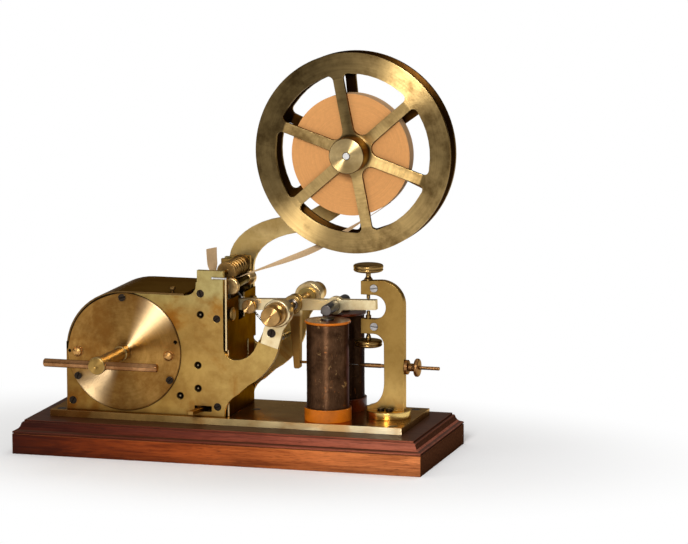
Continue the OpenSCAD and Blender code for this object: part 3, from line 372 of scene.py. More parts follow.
def wood(name, tones, end, top):
    """Polished mahogany, grain along X: tones with painted light at places along X, end grain at both ends, a
    darker top.
    """
    g = Graph(name, None)
    rings = g.noise(11, 6, 0.6, vector=g.mapping(scale=(1, 9, 9)), distort=1.8)
    streak = g.noise(1.0, 5, 0.65, vector=g.mapping(scale=(16, 460, 460)))
    pores = g.noise(1.0, 2, 0.5, vector=g.mapping(scale=(110, 1700, 1700)))
    grain = g.plus(g.mul(rings, 0.55), g.mul(streak, 0.45))
    # Wood tones with painted light along X
    g.colour = g.along_x(tones)
    g.tint(g.span(grain, 0.34, 0.62, 1.0, 0.0, smooth=True), (0.42, 0.34, 0.3))
    g.paint(g.span(pores, 0.56, 0.68, 0.0, 0.5), (0.02, 0.005, 0.002))
    ends = g.faces("X", 0.6, 0.85)
    g.paint(ends, g.mix(g.span(streak, 0.35, 0.65), end, shade(end, 0.5)))
    g.paint(g.span(g.facing("Z"), 0.75, 0.95), g.mix(g.span(grain, 0.34, 0.62), shade(top, 0.5), top))
    g.paint(g.span(g.noise(55, 5, 0.75, distort=0.8), 0.66, 0.72, 0.0, 0.45), (0.02, 0.007, 0.003))
    rounded, edge = g.edges(0.9)
    g.paint(g.mul(edge, 0.25), tones[-1][1])
    # Dirt and painted shade in corners
    g.paint(g.corners(14, 0.3, 0.95, 0.7), (0.012, 0.003, 0.001))
    g.relief(g.plus(streak, g.mul(pores, 0.6)), 0.07, 0.45, rounded)
    polished = g.flip(ends)
    g.set(Roughness=g.span(streak, 0.3, 0.7, 0.46, 0.34), Specular_IOR_Level=g.mul(polished, 0.08),
          Coat_Weight=g.mul(polished, 0.04), Coat_Roughness=0.12, Coat_Normal=rounded)
    return g


def varnish(name, colour, top):
    """Amber-varnished flange: fine specks, a darker, dusty upper face."""
    g = Graph(name, shade(colour, 0.6))
    n = g.noise(60, 6, 0.65)
    g.paint(g.span(n, 0.3, 0.7), colour)
    g.paint(g.span(g.noise(420, 4, 0.7), 0.62, 0.72, 0.0, 0.7), shade(colour, 0.12))
    g.paint(g.span(g.facing("Z"), 0.8, 0.95), g.mix(g.span(n, 0.35, 0.65), shade(top, 0.5), top))
    rounded, edge = g.edges(0.8)
    g.paint(g.mul(edge, 0.6), rubbed(colour, 1.5))
    g.relief(g.noise(320, 4), 0.05, 0.5, rounded)
    g.set(Roughness=g.span(n, 0.3, 0.7, 0.4, 0.24), Specular_IOR_Level=0.2, Coat_Weight=0.1,
          Coat_Roughness=0.12)
    return g


def coil_wrap(name, k):
    """Varnished wrap: dark brown, mottled, with orange scratches and pale chips; k darkens it as painted
    shade.
    """
    g = Graph(name, shade((0.045, 0.02, 0.009), k))
    mottle = g.noise(70, 7, 0.7, distort=0.5)
    g.paint(g.span(mottle, 0.35, 0.65), shade((0.12, 0.058, 0.028), k))
    weave = g.noise(1.0, 3, 0.6, vector=g.mapping(scale=(900, 900, 260)))
    g.paint(g.span(weave, 0.55, 0.75, 0.0, 0.6), shade((0.19, 0.10, 0.055), k))
    slanted = g.mapping(scale=(230, 170, 75), rot=(0.5, 0.9, 0.3))
    scratches = g.span(g.noise(1.0, 2, 0.5, vector=slanted, distort=1.5), 0.685, 0.72)
    g.paint(g.mul(scratches, g.along("Z", 120, 55, 0.4, 0.7)), shade((0.34, 0.12, 0.035), k))
    chips = g.noise(120, 5, 0.75, distort=0.4)
    g.paint(g.span(chips, 0.63, 0.67, 0.0, 0.8), shade((0.46, 0.27, 0.11), k))
    g.set(Metallic=0.7, Roughness=g.span(mottle, 0.3, 0.7, 0.44, 0.34), Specular_IOR_Level=0.12 * k,
          Specular_Tint=(0.35, 0.22, 0.12))
    g.relief(g.plus(weave, mottle), 0.06, 0.4)
    g.shine("Z", 0.85)
    return g


def paper(name, colour, wound):
    """Pulp; the side faces of the wound roll show its layers."""
    g = Graph(name, shade(colour, 0.86))
    pulp = g.noise(330, 6, 0.7)
    g.paint(g.span(pulp, 0.3, 0.7), colour)
    height = g.mul(pulp, 0.4)
    if wound:
        r, angle = g.polar(ROLL)
        layer = g.noise(1.0, 4, 0.7, vector=g.join(g.mul(r, 1300), g.mul(angle, 0.5), 0))
        face = g.faces("Y", 0.5, 0.8)
        g.paint(g.flip(face), (0.66, 0.40, 0.2))
        g.paint(g.mul(face, g.span(layer, 0.42, 0.68, 0.0, 0.5)), shade(colour, 0.72))
        height = g.plus(height, layer)
    # Dirt and painted shade in corners
    g.paint(g.corners(6, 0.3, 0.9, 0.45), shade(colour, 0.35))
    g.set(Roughness=0.8, Specular_IOR_Level=0.2)
    g.relief(height, 0.06, 0.45)
    return g


def hub_metal():
    """The lever's hub, with the end of its steel arbor."""
    g = brass("hub_brass", (0.62, 0.42, 0.17), (0.33, 0.18, 0.042), (0.22, 0.34), turned=PIVOT, aniso=0.6,
              wear=0.55)
    g.paint(g.spot(PIVOT, 5.0, 5.3), (0.17, 0.14, 0.115))
    return g


def nip_metal():
    """The pressure roller: its body is painted dark as shade between the bright knobs."""
    g = brass("nip_brass", (0.90, 0.64, 0.31), (0.60, 0.36, 0.13), (0.24, 0.34), wear=0.2, bumps=0.2)
    # Painted shade: the roller's body dark between the knobs
    g.paint(g.mul(g.along("Y", -17.8, -17.2), g.along("Y", 23.5, 24.5, 1.0, 0.0)), (0.035, 0.02, 0.008))
    return g


def arm_metal():
    """The reel's arm, with painted light that makes it paler at its foot, and the steel end of the spindle."""
    g = brass("arm_brass", (0.56, 0.39, 0.16), (0.36, 0.23, 0.075), (0.3, 0.44), patina=34, wear=0.55)
    # Painted light: paler at the foot
    g.tint(g.along("Z", 196, 184, smooth=True), (1.45, 1.55, 1.7))
    g.paint(g.mul(g.along("Y", -8, -8.5), g.spot(REEL, 3.4, 3.6)), (0.72, 0.70, 0.68))
    return g


def vents(g):
    """Two small holes at the edge of the drum's cover, painted black as their shade."""
    return g.any_of([g.spot((BARREL[0] + x, BARREL[1] + z), r - 0.2, r + 0.2)
                     for x, z, r in ((48.9, 11.0, 1.9), (-51.5, -1.2, 1.5))])


def plate_metal():
    """The plates, with painted light along X and up the tower; a painted shadow runs round the drum's cover as
    a black gap, wider on the left.
    """
    g = brass("plate_brass", (0.60, 0.40, 0.125), (0.40, 0.235, 0.065), (0.3, 0.4), brush="Z",
              holes=OIL_HOLES, dirt_and_shade=0.7, grade=PLATE_LIGHT_GRADE, rust=1.0)
    # Painted light: paler up the tower
    g.tint(g.along("Z", 122, 150, smooth=True), (1.02, 1.32, 1.8))
    r, angle = g.polar(BARREL)
    # Painted shadow: a black gap round the drum's cover, wider on the left, and the vents black
    wide = g.span(g.apart(angle, 2.5), 0.6, 1.4, 0.0016, 0.0, smooth=True)
    gap = g.span(g.minus(r, wide), 0.0536, 0.0541, 1.0, 0.0)
    g.paint(g.mul(g.any_of([gap, vents(g)]), g.span(g.facing("Y"), -0.8, -0.95)), BLACK)
    return g


def disc_metal():
    """The drum's cover: brown, with a painted highlight paler to the upper right and the lower left, a painted
    black shadow at its edge, and two plain studs.
    """
    g = brass("turned_disc", (0.57, 0.315, 0.085), (0.29, 0.125, 0.024), (0.35, 0.4), turned=BARREL,
              stain=(0.38, 0.66), bumps=0.2)
    r, angle = g.polar(BARREL)
    # Painted highlight: paler to the upper right and the lower left
    pale = [g.span(g.apart(angle, middle), 0.1, 0.5, 0.8, 0.0, smooth=True) for middle in (0.86, -2.28)]
    g.paint(g.any_of(pale), g.mix(0.4, (0.80, 0.63, 0.38), g.colour))
    studs = g.any_of([g.spot((BARREL[0] + x, BARREL[1] - 1.6), 4.6, 4.9) for x in (-43.6, 42.4)])
    g.set(Anisotropic=g.flip(studs))
    g.paint(studs, (0.58, 0.31, 0.10))
    # Painted shadow: a black ring at the cover's edge, wider at the upper left
    wide = g.span(g.apart(angle, 2.42), 0.45, 0.95, -0.0016, 0.0, smooth=True)
    g.paint(g.span(g.minus(r, wide), 0.0535, 0.0539), BLACK)
    # Painted shade: the vents black
    g.paint(vents(g), BLACK)
    return g


def reel_metal():
    """The reel's wheels: turned rims and polished spokes with painted light by angle, and painted shade
    between the two wheels.
    """
    g = brass("reel_brass", (0.60, 0.42, 0.175), (0.17, 0.10, 0.032), (0.33, 0.38), turned=REEL, patina=26,
              bumps=0.2, wear=0.75, side=(0.28, 0.15, 0.045), stain=(0.3, 0.6))
    r, angle = g.polar(REEL)
    # Painted light: rims and spokes brighter or darker by angle round the reel
    rim, spoke = (g.ramp(angle, [(a, shade((0.52, 0.5, 0.47), k)) for a, k in row], math.radians(1))
                  for row in (RIM_LIGHT, SPOKE_LIGHT))
    inner = g.mul(g.span(r, 0.0672, 0.0655), g.span(r, 0.0165, 0.019))
    light = g.mix(inner, rim, spoke)
    flat = g.faces("Y", 0.7, 0.9)
    g.tint(flat, g.mix(1.0, light, light, "ADD"))
    # Painted shade between the two wheels
    front, back = REEL_FACES
    between = g.mul(g.along("Y", front + 0.6, front + 1), g.along("Y", back - 1, back - 0.6, 1.0, 0.0))
    g.tint(between, (0.16, 0.095, 0.04))
    g.set(Anisotropic=g.mul(flat, g.flip(inner)))
    return g


def bracket_metal():
    """The contact bracket, with painted light paler towards the bottom; its round foot is turned and bright.
    """
    g = brass("bracket_brass", (0.38, 0.225, 0.06), (0.27, 0.15, 0.036), (0.3, 0.4), brush="Z", wear=0.4,
              rust=0.6)
    # Painted light: paler towards the bottom
    g.tint(g.along("Z", 85, 55, smooth=True), (1.7, 1.85, 2.2))
    foot = g.mul(g.along("Z", 42.9, 42.8), g.faces("Z", 0.8, 0.5))
    g.paint(foot, (0.85, 0.59, 0.2))
    rough = g.shader.inputs["Roughness"].links[0].from_socket
    g.set(Roughness=g.plus(rough, g.mul(foot, -0.1)))
    return g


def lever_metal():
    """The lever, pale; its lower arm is dark in the shade of the coils."""
    g = brass("lever_brass", (1.0, 0.86, 0.54), (0.80, 0.60, 0.30), (0.28, 0.38), brush="X", wear=0.2)
    g.tint(g.along("Z", 127.5, 123.5), (0.28, 0.17, 0.07))
    return g


def roller_metal():
    """The grooved roller, with painted shade in its grooves and towards the back."""
    g = brass("roller_brass", (0.40, 0.235, 0.08), (0.18, 0.09, 0.026), (0.36, 0.44), dirt_and_shade=0.85, bumps=0.2,
              wear=0.2)
    # Painted shade: dark in the grooves, and on the ridges more towards the back
    ridges = g.mul(g.span(g.polar(ROLLER)[0], 0.0071, 0.0078), g.along("Y", -9, 4, 1.0, 0.25))
    g.paint(g.flip(g.any_of([g.faces("Y", 0.5, 0.9), ridges])), (0.03, 0.015, 0.006))
    return g


def cover_metal():
    """End cover: dark sheet, with a painted highlight where its edge faces the front, and a steel latch."""
    g = brass("inner_brass", *DARK_SHEET, graze=DULL)
    # Painted highlight on the faces to the front
    g.paint(g.span(g.facing("Y"), -0.6, -0.9), (0.78, 0.58, 0.30))
    g.paint(g.along("Y", -39.6, -39.8), (0.62, 0.60, 0.58))
    return g


def train_metal():
    """Wheels inside; the arbors' ends are painted as black dots of shade in the plate's oil sinks, with a
    bright middle.
    """
    g = brass("train_brass", (0.30, 0.17, 0.05), (0.13, 0.06, 0.016), (0.3, 0.42))
    # Painted shade: black round the arbors' ends in the oil sinks
    tip = g.mix(g.any_of([g.spot(hole, 0.6, 0.9) for hole in OIL_HOLES]), BLACK, (0.26, 0.20, 0.12))
    g.paint(g.along("Y", -35.5, -36), tip)
    return g


FINISHES = {
    "plate": plate_metal(),
    "brass": brass("aged_brass", (0.46, 0.27, 0.08), (0.22, 0.10, 0.022), (0.24, 0.36), wear=0.35),
    "inside": brass("dark_inside", *DARK_SHEET, graze=DULL),
    "end_cover": cover_metal(),
    "cover": brass("cover_sheet", (0.22, 0.125, 0.042), (0.12, 0.062, 0.018), (0.3, 0.38), brush="X",
                   wear=0.25, graze=(0.62, 0.44, 0.22)),
    "bed": brass("bed_brass", (0.60, 0.37, 0.14), (0.32, 0.17, 0.05), (0.18, 0.3), brush="X", wear=0.4,
                 dirt_and_shade=0.3, face=BED_FRONT_LIGHT, graze=(1.0, 0.85, 0.6), rust=0.8),
    "lever": lever_metal(),
    "arm": arm_metal(),
    "bracket": bracket_metal(),
    "bright_brass": brass("bright_brass", (1.0, 0.82, 0.5), (0.74, 0.52, 0.23), (0.24, 0.34),
                          stain=(0.32, 0.56), wear=0.2),
    "disc": disc_metal(),
    "reel": reel_metal(),
    # Painted shade on the cap's side
    "cap": brass("hub_cap", (0.60, 0.44, 0.21), (0.42, 0.28, 0.11), (0.32, 0.36), turned=REEL, bumps=0.15,
                 wear=0.2, side=(0.09, 0.045, 0.013)),
    "pivot": brass("pivot_brass", (0.72, 0.44, 0.18), (0.48, 0.26, 0.08), (0.32, 0.36), turned=PIVOT,
                   bumps=0.15, wear=0.2, side=(0.46, 0.26, 0.085)),
    "key": brass("key_brass", (0.47, 0.29, 0.08), (0.3, 0.17, 0.045), (0.3, 0.36), turned=BARREL, aniso=0.7,
                 bumps=0.1, side=(0.47, 0.34, 0.145)),
    "bronze": brass("key_bronze", (0.56, 0.29, 0.125), (0.24, 0.10, 0.035), (0.2, 0.28), brush="X"),
    "roller": roller_metal(),
    "knob": brass("milled_brass", (0.44, 0.28, 0.10), (0.2, 0.11, 0.032), (0.24, 0.34), wear=0.25, bumps=0.2),
    "small": brass("rod_bronze", (0.42, 0.21, 0.08), (0.18, 0.08, 0.025), (0.26, 0.36), wear=0.2, bumps=0.2),
    "train": train_metal(),
    "hub": hub_metal(),
    "nip": nip_metal(),
    "steel": steel("steel", (0.42, 0.40, 0.38), 0.28),
    "nickel": steel("nickel_screw", (0.62, 0.58, 0.56), 0.3),
    "blued_steel": steel("blued_steel", (0.042, 0.030, 0.022), 0.32),
    "iron": iron_metal(),
    "mahogany": wood("mahogany_block", BLOCK_TONES_AND_LIGHT, (0.15, 0.055, 0.025), (0.1, 0.03, 0.012)),
    "board": wood("mahogany_board", BOARD_TONES_AND_LIGHT, (0.10, 0.035, 0.018), (0.065, 0.022, 0.009)),
    "amber_flange": varnish("amber_flange", (0.70, 0.175, 0.006), (0.16, 0.045, 0.010)),
    "coil_wrap": coil_wrap("coil_wrap", 1.0),
    # Painted shade: the back coil's wrap and bobbin are darker copies of the front ones
    "dark_wrap": coil_wrap("coil_wrap_painted_shade", 0.35),
    "dark_amber": varnish("amber_flange_painted_shade", (0.08, 0.011, 0.0006), (0.09, 0.025, 0.006)),
    "paper": paper("roll_paper", (0.72, 0.335, 0.11), True),
    "tape": paper("tape_paper", (0.74, 0.50, 0.27), False),
}

# Nodes with another finish than their slot's
NAMED = {"board": "base_moulding", "plate": "front_plate back_plate", "cover": "drum_cover",
         "end_cover": "end_cover", "inside": "plate_pillars train_bridge", "bed": "base_plate",
         "blued_steel": "base_plate_screws", "disc": "barrel_cover",
         "reel": "reel_front_wheel reel_back_wheel", "cap": "reel_hub", "arm": "reel_arm",
         "key": "winding_key", "lever": "armature_lever",
         "hub": "lever_arbor", "roller": "grooved_roller", "nip": "pressure_roller",
         "bracket": "contact_bracket guide_bracket", "pivot": "front_pivot_screw back_pivot_screw stylus_knob",
         "nickel": "clamp_screws", "knob": "upper_contact_screw lower_contact_screw end_cover_screws",
         "small": "regulator_nut regulator_rod regulator_bush", "tape": "paper_tape",
         "train": "centre_wheels governor_wheel governor_fly feed_wheels", "dark_wrap": "back_winding",
         "dark_amber": "back_bobbin"}
BY_NODE = {node: finish for finish, nodes in NAMED.items() for node in nodes.split()}


def finish_of(node):
    return FINISHES[BY_NODE.get(node, SLOT[node])].mat


for node, obj in NODES.items():
    obj.data.materials.clear()
    obj.data.materials.append(finish_of(node))


# Pieces in mesh code, in millimetres
AXES = {"X": ((0, 0, 1), (1, 0, 0), (0, 1, 0)), "Y": ((0, 1, 0), (0, 0, 1), (1, 0, 0)),
        "-Y": ((1, 0, 0), (0, 0, -1), (0, 1, 0)), "Z": ((1, 0, 0), (0, 1, 0), (0, 0, 1))}
LEVER = Matrix.Translation((PIVOT[0], 0, PIVOT[1])) @ Matrix.Rotation(-TILT, 4, "Y")
WELD, SLIVER = 0.008, 0.001    # points closer than this are joined, edges shorter than this dissolved
TIP_R = 0.004                  # radius left open on an axis until the points are joined


def fillet(profile, radius):
    """Rounds a profile's inner corners with short curves."""
    out, steps = [profile[0]], 3
    for a, b, c in zip(profile, profile[1:], profile[2:]):
        a, b, c = Vector(a), Vector(b), Vector(c)
        cut = min(radius, (a - b).length * 0.45, (c - b).length * 0.45)
        turn = (b - a).angle(c - b, 0.0) if (b - a).length and (c - b).length else 0.0
        if turn < 0.2 or cut < 0.02:
            out.append(tuple(b))
            continue
        p, q = b + (a - b).normalized() * cut, b + (c - b).normalized() * cut
        for i in range(steps + 1):
            t = i / steps
            out.append(tuple(p * (1 - t) ** 2 + b * 2 * t * (1 - t) + q * t * t))
    return out + [profile[-1]]


def refine(line, pitch):
    """Cuts a profile's straight stretches finely enough to carry a thread."""
    out = []
    for (r0, h0), (r1, h1) in zip(line, line[1:]):
        out.append((r0, h0))
        if abs(r0 - r1) < 0.05 and h1 > h0 + pitch:
            steps = int((h1 - h0) / pitch * 6)
            out += [(r0, h0 + (h1 - h0) * k / steps) for k in range(1, steps)]
    return out + [line[-1]]


def unit_ring(n):
    return [(math.cos(TAU * j / n), math.sin(TAU * j / n)) for j in range(n)]


def around(points, i):
    """Direction of a path at one of its points."""
    return (points[min(i + 1, len(points) - 1)] - points[max(i - 1, 0)]).normalized()


class Shell:
    """Closed shells of one piece."""

    def __init__(self):
        self.verts, self.faces = [], []

    def rings(self, rows, loop=False):
        """Joins rows of points into a skin, closed by caps or into a loop."""
        start, n, count = len(self.verts), len(rows[0]), len(rows)
        for row in rows:
            self.verts.extend(row)
        for i in range(count if loop else count - 1):
            near, far = start + i * n, start + (i + 1) % count * n
            self.faces += [(near + j, near + (j + 1) % n, far + (j + 1) % n, far + j) for j in range(n)]
        if not loop:
            self.faces.append(tuple(range(start + n - 1, start - 1, -1)))
            self.faces.append(tuple(range(start + (count - 1) * n, start + count * n)))

    def lathe(self, profile, place, axis="Z", segments=72, soft=0.25, thread=None, matrix=Matrix.Identity(4)):
        """Turns (radius, height) pairs round an axis through place. thread = low, high, pitch, depth."""
        loop = profile[0][0] > 0.3 and profile[-1][0] > 0.3
        line = fillet(profile + (profile[:2] if loop else []), soft)
        if loop:
            line = line[1:-1]
        if thread:
            low, high, pitch, depth = thread
            line = refine(line, pitch)
        m = matrix @ (Matrix.Translation(place) @ Matrix(AXES[axis]).to_4x4())
        rows = []
        for r, h in line:
            row = []
            for j, (c, s) in enumerate(unit_ring(segments)):
                q = max(r, TIP_R)
                if thread and low < h < high and r > 1:
                    phase = (h / pitch - j / segments) % 1.0
                    q -= depth * (1 - abs(2 * phase - 1))
                row.append(m @ Vector((q * c, q * s, h)))
            rows.append(row)
        self.rings(rows, loop)

    def prism(self, loops, y0, y1, matrix=Matrix.Identity(4)):
        """A flat piece across Y from y0 to y1; the first loop is its outline, the others are holes."""
        start = len(self.verts)
        flat = [Vector((x, z)) for loop in loops for x, z in loop]
        n = len(flat)
        for y in (y0, y1):
            self.verts += [matrix @ Vector((x, y, z)) for x, z in flat]
        i = start
        for loop in loops:
            k = len(loop)
            sides = [(i + j, i + (j + 1) % k) for j in range(k)]
            self.faces += [(a, b, b + n, a + n) for a, b in sides]
            i += k
        for tri in tessellate_polygon([[Vector((x, z, 0)) for x, z in loop] for loop in loops]):
            self.faces.append(tuple(start + t for t in tri))
            self.faces.append(tuple(start + n + t for t in reversed(tri)))

    def tube(self, path, radius, sides):
        """Round wire along a path."""
        rows, side = [], Vector((0.3, 1, 0.2)).normalized()
        for i, p in enumerate(path):
            d = around(path, i)
            u = d.cross(side).normalized()
            v = d.cross(u)
            rows.append([p + radius * (c * u + s * v) for c, s in unit_ring(sides)])
        self.rings(rows)

    def piece(self, name, *nodes, sharp=34, rides=True):
        """Makes the shells one object in place of its nodes; edges over sharp degrees stay hard."""
        me = bpy.data.meshes.new(name)
        me.from_pydata([Vector(v) * MM for v in self.verts], [], self.faces)
        bm = bmesh.new()
        bm.from_mesh(me)
        bmesh.ops.remove_doubles(bm, verts=bm.verts, dist=WELD * MM)
        bmesh.ops.dissolve_degenerate(bm, dist=SLIVER * MM, edges=bm.edges)
        bmesh.ops.recalc_face_normals(bm, faces=bm.faces)
        bm.to_mesh(me)
        bm.free()
        me.shade_smooth()
        me.set_sharp_from_angle(angle=math.radians(sharp))
        obj = new_object(name, me)
        me.materials.append(finish_of(nodes[0]))
        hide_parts(*nodes)
        if rides:
            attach(obj, BODY[nodes[0]])
        return obj


def on(axis, y):
    """The place at y on an axis along Y."""
    return (axis[0], y, axis[1])


def rod(radius, low, high):
    """Profile of a plain cylinder."""
    return [(0, low), (radius, low), (radius, high), (0, high)]


def arc(c, r, a0, a1, n):
    """Points of an arc, from a0 to a1 degrees."""
    angles = [math.radians(a0 + (a1 - a0) * i / n) for i in range(n + 1)]
    return [(c[0] + r * math.cos(a), c[1] + r * math.sin(a)) for a in angles]


def circle(c, r, n):
    return arc(c, r, 0, 360, n)[:-1]


def bezier(p, n):
    p = [Vector(q) for q in p]
    out = []
    for i in range(n + 1):
        t = i / n
        u = 1 - t
        out.append(p[0] * u ** 3 + p[1] * 3 * u * u * t + p[2] * 3 * u * t * t + p[3] * t ** 3)
    return out


def lookup(x, table):
    """Straight-line value at x in a table of (x, value) pairs."""
    x = min(max(x, table[0][0]), table[-1][0])
    for (x0, y0), (x1, y1) in zip(table, table[1:]):
        if x <= x1:
            return y0 + (y1 - y0) * (x - x0) / (x1 - x0)


def make_pivot_screws():
    """Two milled heads on a shank, a neck and the fine point in the lever's arbor."""
    profile = [(0, 0.9), (0.7, 0.5), (1.1, 0.05), (1.8, 0), (8.2, 0), (8.9, 0.7), (8.9, 8.2), (8.2, 9),
               (6.4, 9.8), (6.4, 11.6), (9.6, 12.4), (10.4, 13.2), (10.4, 16), (9.6, 16.8), (4, 17.4),
               (4, 37.2), (1.5, 38.6), (1.5, 43.6), (0, 43.6)]
    reach = 30.5    # how far a head stands out from its plate
    for side, y, axis in (("front", FRONT_Y - reach, "Y"), ("back", BACK_Y + reach, "-Y")):
        s = Shell()
        s.lathe(profile, on(PIVOT, y), axis, segments=96)
        s.piece(side + "_pivot_screw_turned", side + "_pivot_screw")


THREAD = (0.7, 0.22)     # pitch and depth on the contact screws
HEAD = [(0, 0), (10.9, 0), (12.7, 0.7), (13.4, 1.7), (13.3, 2.5), (12.7, 3.1), (13.4, 3.7), (13.5, 5.3),
        (12.9, 6.3), (11, 6.9), (6, 7.3), (0, 7.4)]


def make_contact_screws():
    """Broad heads with a groove round them, over and under the lever's end, at the two ends of its rock."""
    def at(z):
        return (CONTACT_X, MID_Y, z)

    centre = PIVOT[1] + (CONTACT_X - PIVOT[0]) * math.tan(TILT)
    low = centre + 4.8
    s = Shell()
    s.lathe([(0, low), (1.2, low), (1.75, low + 0.5), (1.75, 160), (0, 160)], at(0), segments=24,
            thread=(low + 0.8, 159, *THREAD))
    s.lathe([(0, 0), (4.2, 0), (3.6, 1.2), (2.4, 2.6), (2.2, 4), (2.3, 6), (3.4, 8),
             (0, 8.1)], at(159.2), soft=0.6)
    s.lathe(HEAD, at(166.6), soft=0.4, segments=110)
    s.piece("upper_contact_turned", "upper_contact_screw")
    high = centre - 4.9 - 70 * math.sin(ROCK)
    s = Shell()
    s.lathe([(0, 100), (1.75, 100), (1.75, high - 0.4), (1.3, high), (0, high)], at(0), segments=24,
            thread=(108, high - 0.6, *THREAD))
    s.lathe(rod(2.5, 124, 127.4), at(0))
    s.lathe([(r * 0.92, h * 0.9) for r, h in HEAD], at(98.9), soft=0.4, segments=104)
    s.lathe([(0, 0), (3.4, 0), (2.3, 1.8), (2.3, 3.6), (0, 3.6)], at(105.3), soft=0.5)
    s.piece("lower_contact_turned", "lower_contact_screw")


def make_thumb_screws():
    """The end cover's two thumb screws."""
    s = Shell()
    for y in (-29.5, 36.0):
        place = (-5, y, 128.6)
        s.lathe(rod(1.5, 0, 7.4), place, "X", 24, thread=(0.5, 6, 0.7, 0.18))
        s.lathe(rod(2.3, 6.8, 8.0), place, "X")
        s.lathe([(0, 7.6), (5.4, 7.6), (6.2, 8.3), (6.2, 9.6), (5.4, 10.3), (3.6, 10.5), (1.2, 10.3),
                 (0, 10.3)], place, "X")
    s.piece("end_cover_thumb_screws", "end_cover_screws")


def make_stylus_knob():
    s = Shell()
    knob = (-39.5, MID_Y - 13, -1.1)
    s.lathe([(0, 0.15), (1, 0), (6, 0), (6.3, 0.4), (6.3, 4.8), (5.8, 5.4), (2.6, 6), (2.6, 9.3), (0, 9.3)],
            knob, "Y", matrix=LEVER)
    s.lathe(rod(1.5, 9, 16.4), knob, "Y", 24, matrix=LEVER)
    s.piece("stylus_clamp_knob", "stylus_knob")


def make_regulator():
    """The milled nut and the threaded rod that it draws through the bracket."""
    s = Shell()
    s.lathe([(1.75, 0), (3.6, 0), (3.6, 1.4), (7.2, 2), (8.2, 3), (8.2, 5), (7.2, 6), (3, 6.4), (1.75, 6.4)],
            (161.7, MID_Y, REG_Z), "X")
    s.piece("tension_nut", "regulator_nut")
    s = Shell()
    s.lathe([(0, 7), (0.65, 7), (0.65, 0.12), (1.1, 0.2), (2, 7), (2, 21), (1.7, 21.4), (1.7, 74.4), (1.2, 75),
             (0, 75)], (111.2, MID_Y, REG_Z), "X", 24, soft=0.15, thread=(34, 74, 0.7, 0.2))
    s.piece("tension_rod_threaded", "regulator_rod")


def make_tension_spring():
    """A hooked spring of round wire; its right end runs into the rod that pulls it."""
    wire_r, coil_r, turns, steps = 0.45, 2.6, 12, 22
    coil_x, coil_l, end_x = 76.2, 21.6, 114.6
    count = turns * steps
    s = Shell()
    s.lathe([(0, 0), (1.4, 0), (1.6, 0.4), (1.6, 5.6), (0.8, 7), (0, 7.2)], (68.6, MID_Y, REG_Z), "X", 32,
            soft=0.2)
    path = [Vector((75.2 + 0.4 * k, MID_Y, REG_Z)) for k in range(3)]
    for k in range(count + 1):
        a = TAU * k / steps
        r = coil_r * min(1.0, k / 12, (count - k) / 12)
        path.append(Vector((coil_x + coil_l * k / count, MID_Y + r * math.sin(a), REG_Z + r * math.cos(a))))
    path += [Vector((98.2 + (end_x - 98.2) * k / 8, MID_Y, REG_Z)) for k in range(9)]
    s.tube(path, wire_r, 10)
    spring = s.piece("tension_spring_wound", "regulator_spring", sharp=60, rides=False)
    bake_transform(spring)


def make_pressure_roller():
    """The roller with two grooves, its arbor, the milled knob in front and the ball-shaped one behind."""
    s = Shell()
    p = on(PRESS, 0)
    s.lathe([(0, -13), (3.6, -13), (4.1, -12.5), (4.1, -8), (3.8, -7.8), (3.8, -7.4), (4.1, -7.2), (4.1, 15.8),
             (3.8, 16), (3.8, 16.4), (4.1, 16.6), (4.1, 21), (3.6, 21.5), (0, 21.5)], p, "Y", soft=0.15)
    s.lathe(rod(1.5, -18.5, 28), p, "Y", 24)
    s.lathe([(0, -22.6), (1.4, -22.75), (6.9, -22.8), (7.8, -22), (7.8, -19.8), (7, -19.2), (3, -18.8),
             (0, -18.8)], p, "Y")
    ball = arc((0, 32.3), 7.1, -76, 9, 17)
    s.lathe([(0, 25.5), (ball[0][0], 25.5)] + ball + [(6.6, 34.3), (0, 34.3)], p, "Y", 96, soft=0.1)
    s.piece("pressure_roller_turned", "pressure_roller", sharp=50)


def make_reel_hub():
    """Front boss, sleeve and back washer, a hair apart from the wheels between them."""
    s = Shell()
    c = on(REEL, -26.5)
    s.lathe([(3.1, 0.5), (3.6, 0), (15.3, 0), (16, 0.7), (16, 19.48), (3.1, 19.48)], c, "Y", 120, soft=0.3)
    s.lathe([(3.1, 19.52), (6, 19.52), (6, 41.48), (3.1, 41.48)], c, "Y")
    s.lathe([(3.1, 41.52), (12, 41.52), (12, 43.5), (3.1, 43.5)], c, "Y", 96)
    s.piece("reel_hub_turned", "reel_hub")


def make_key():
    """The winding key and the loose bar through its head."""
    s = Shell()
    s.lathe([(0, 0.35), (1.2, 0.3), (2, 0), (7.2, 0), (7.9, 0.7), (7.9, 4), (7.2, 10.8), (6.4, 12.6),
             (6.4, 38), (6, 39.2), (6, 62), (7, 62.6), (7, 72.3),
             (0, 72.3)], on(BARREL, -114.8), "Y", 96, soft=0.4)
    s.piece("winding_key_turned", "winding_key")
    s = Shell()
    s.lathe([(0, 0), (2.9, 0), (3.7, 0.8), (3.7, 105.2), (2.9, 106), (0, 106)],
            (BARREL[0] - 51, -108.6, BARREL[1]), "X", 48, soft=0.3)
    s.piece("key_cross_bar", "key_bar")


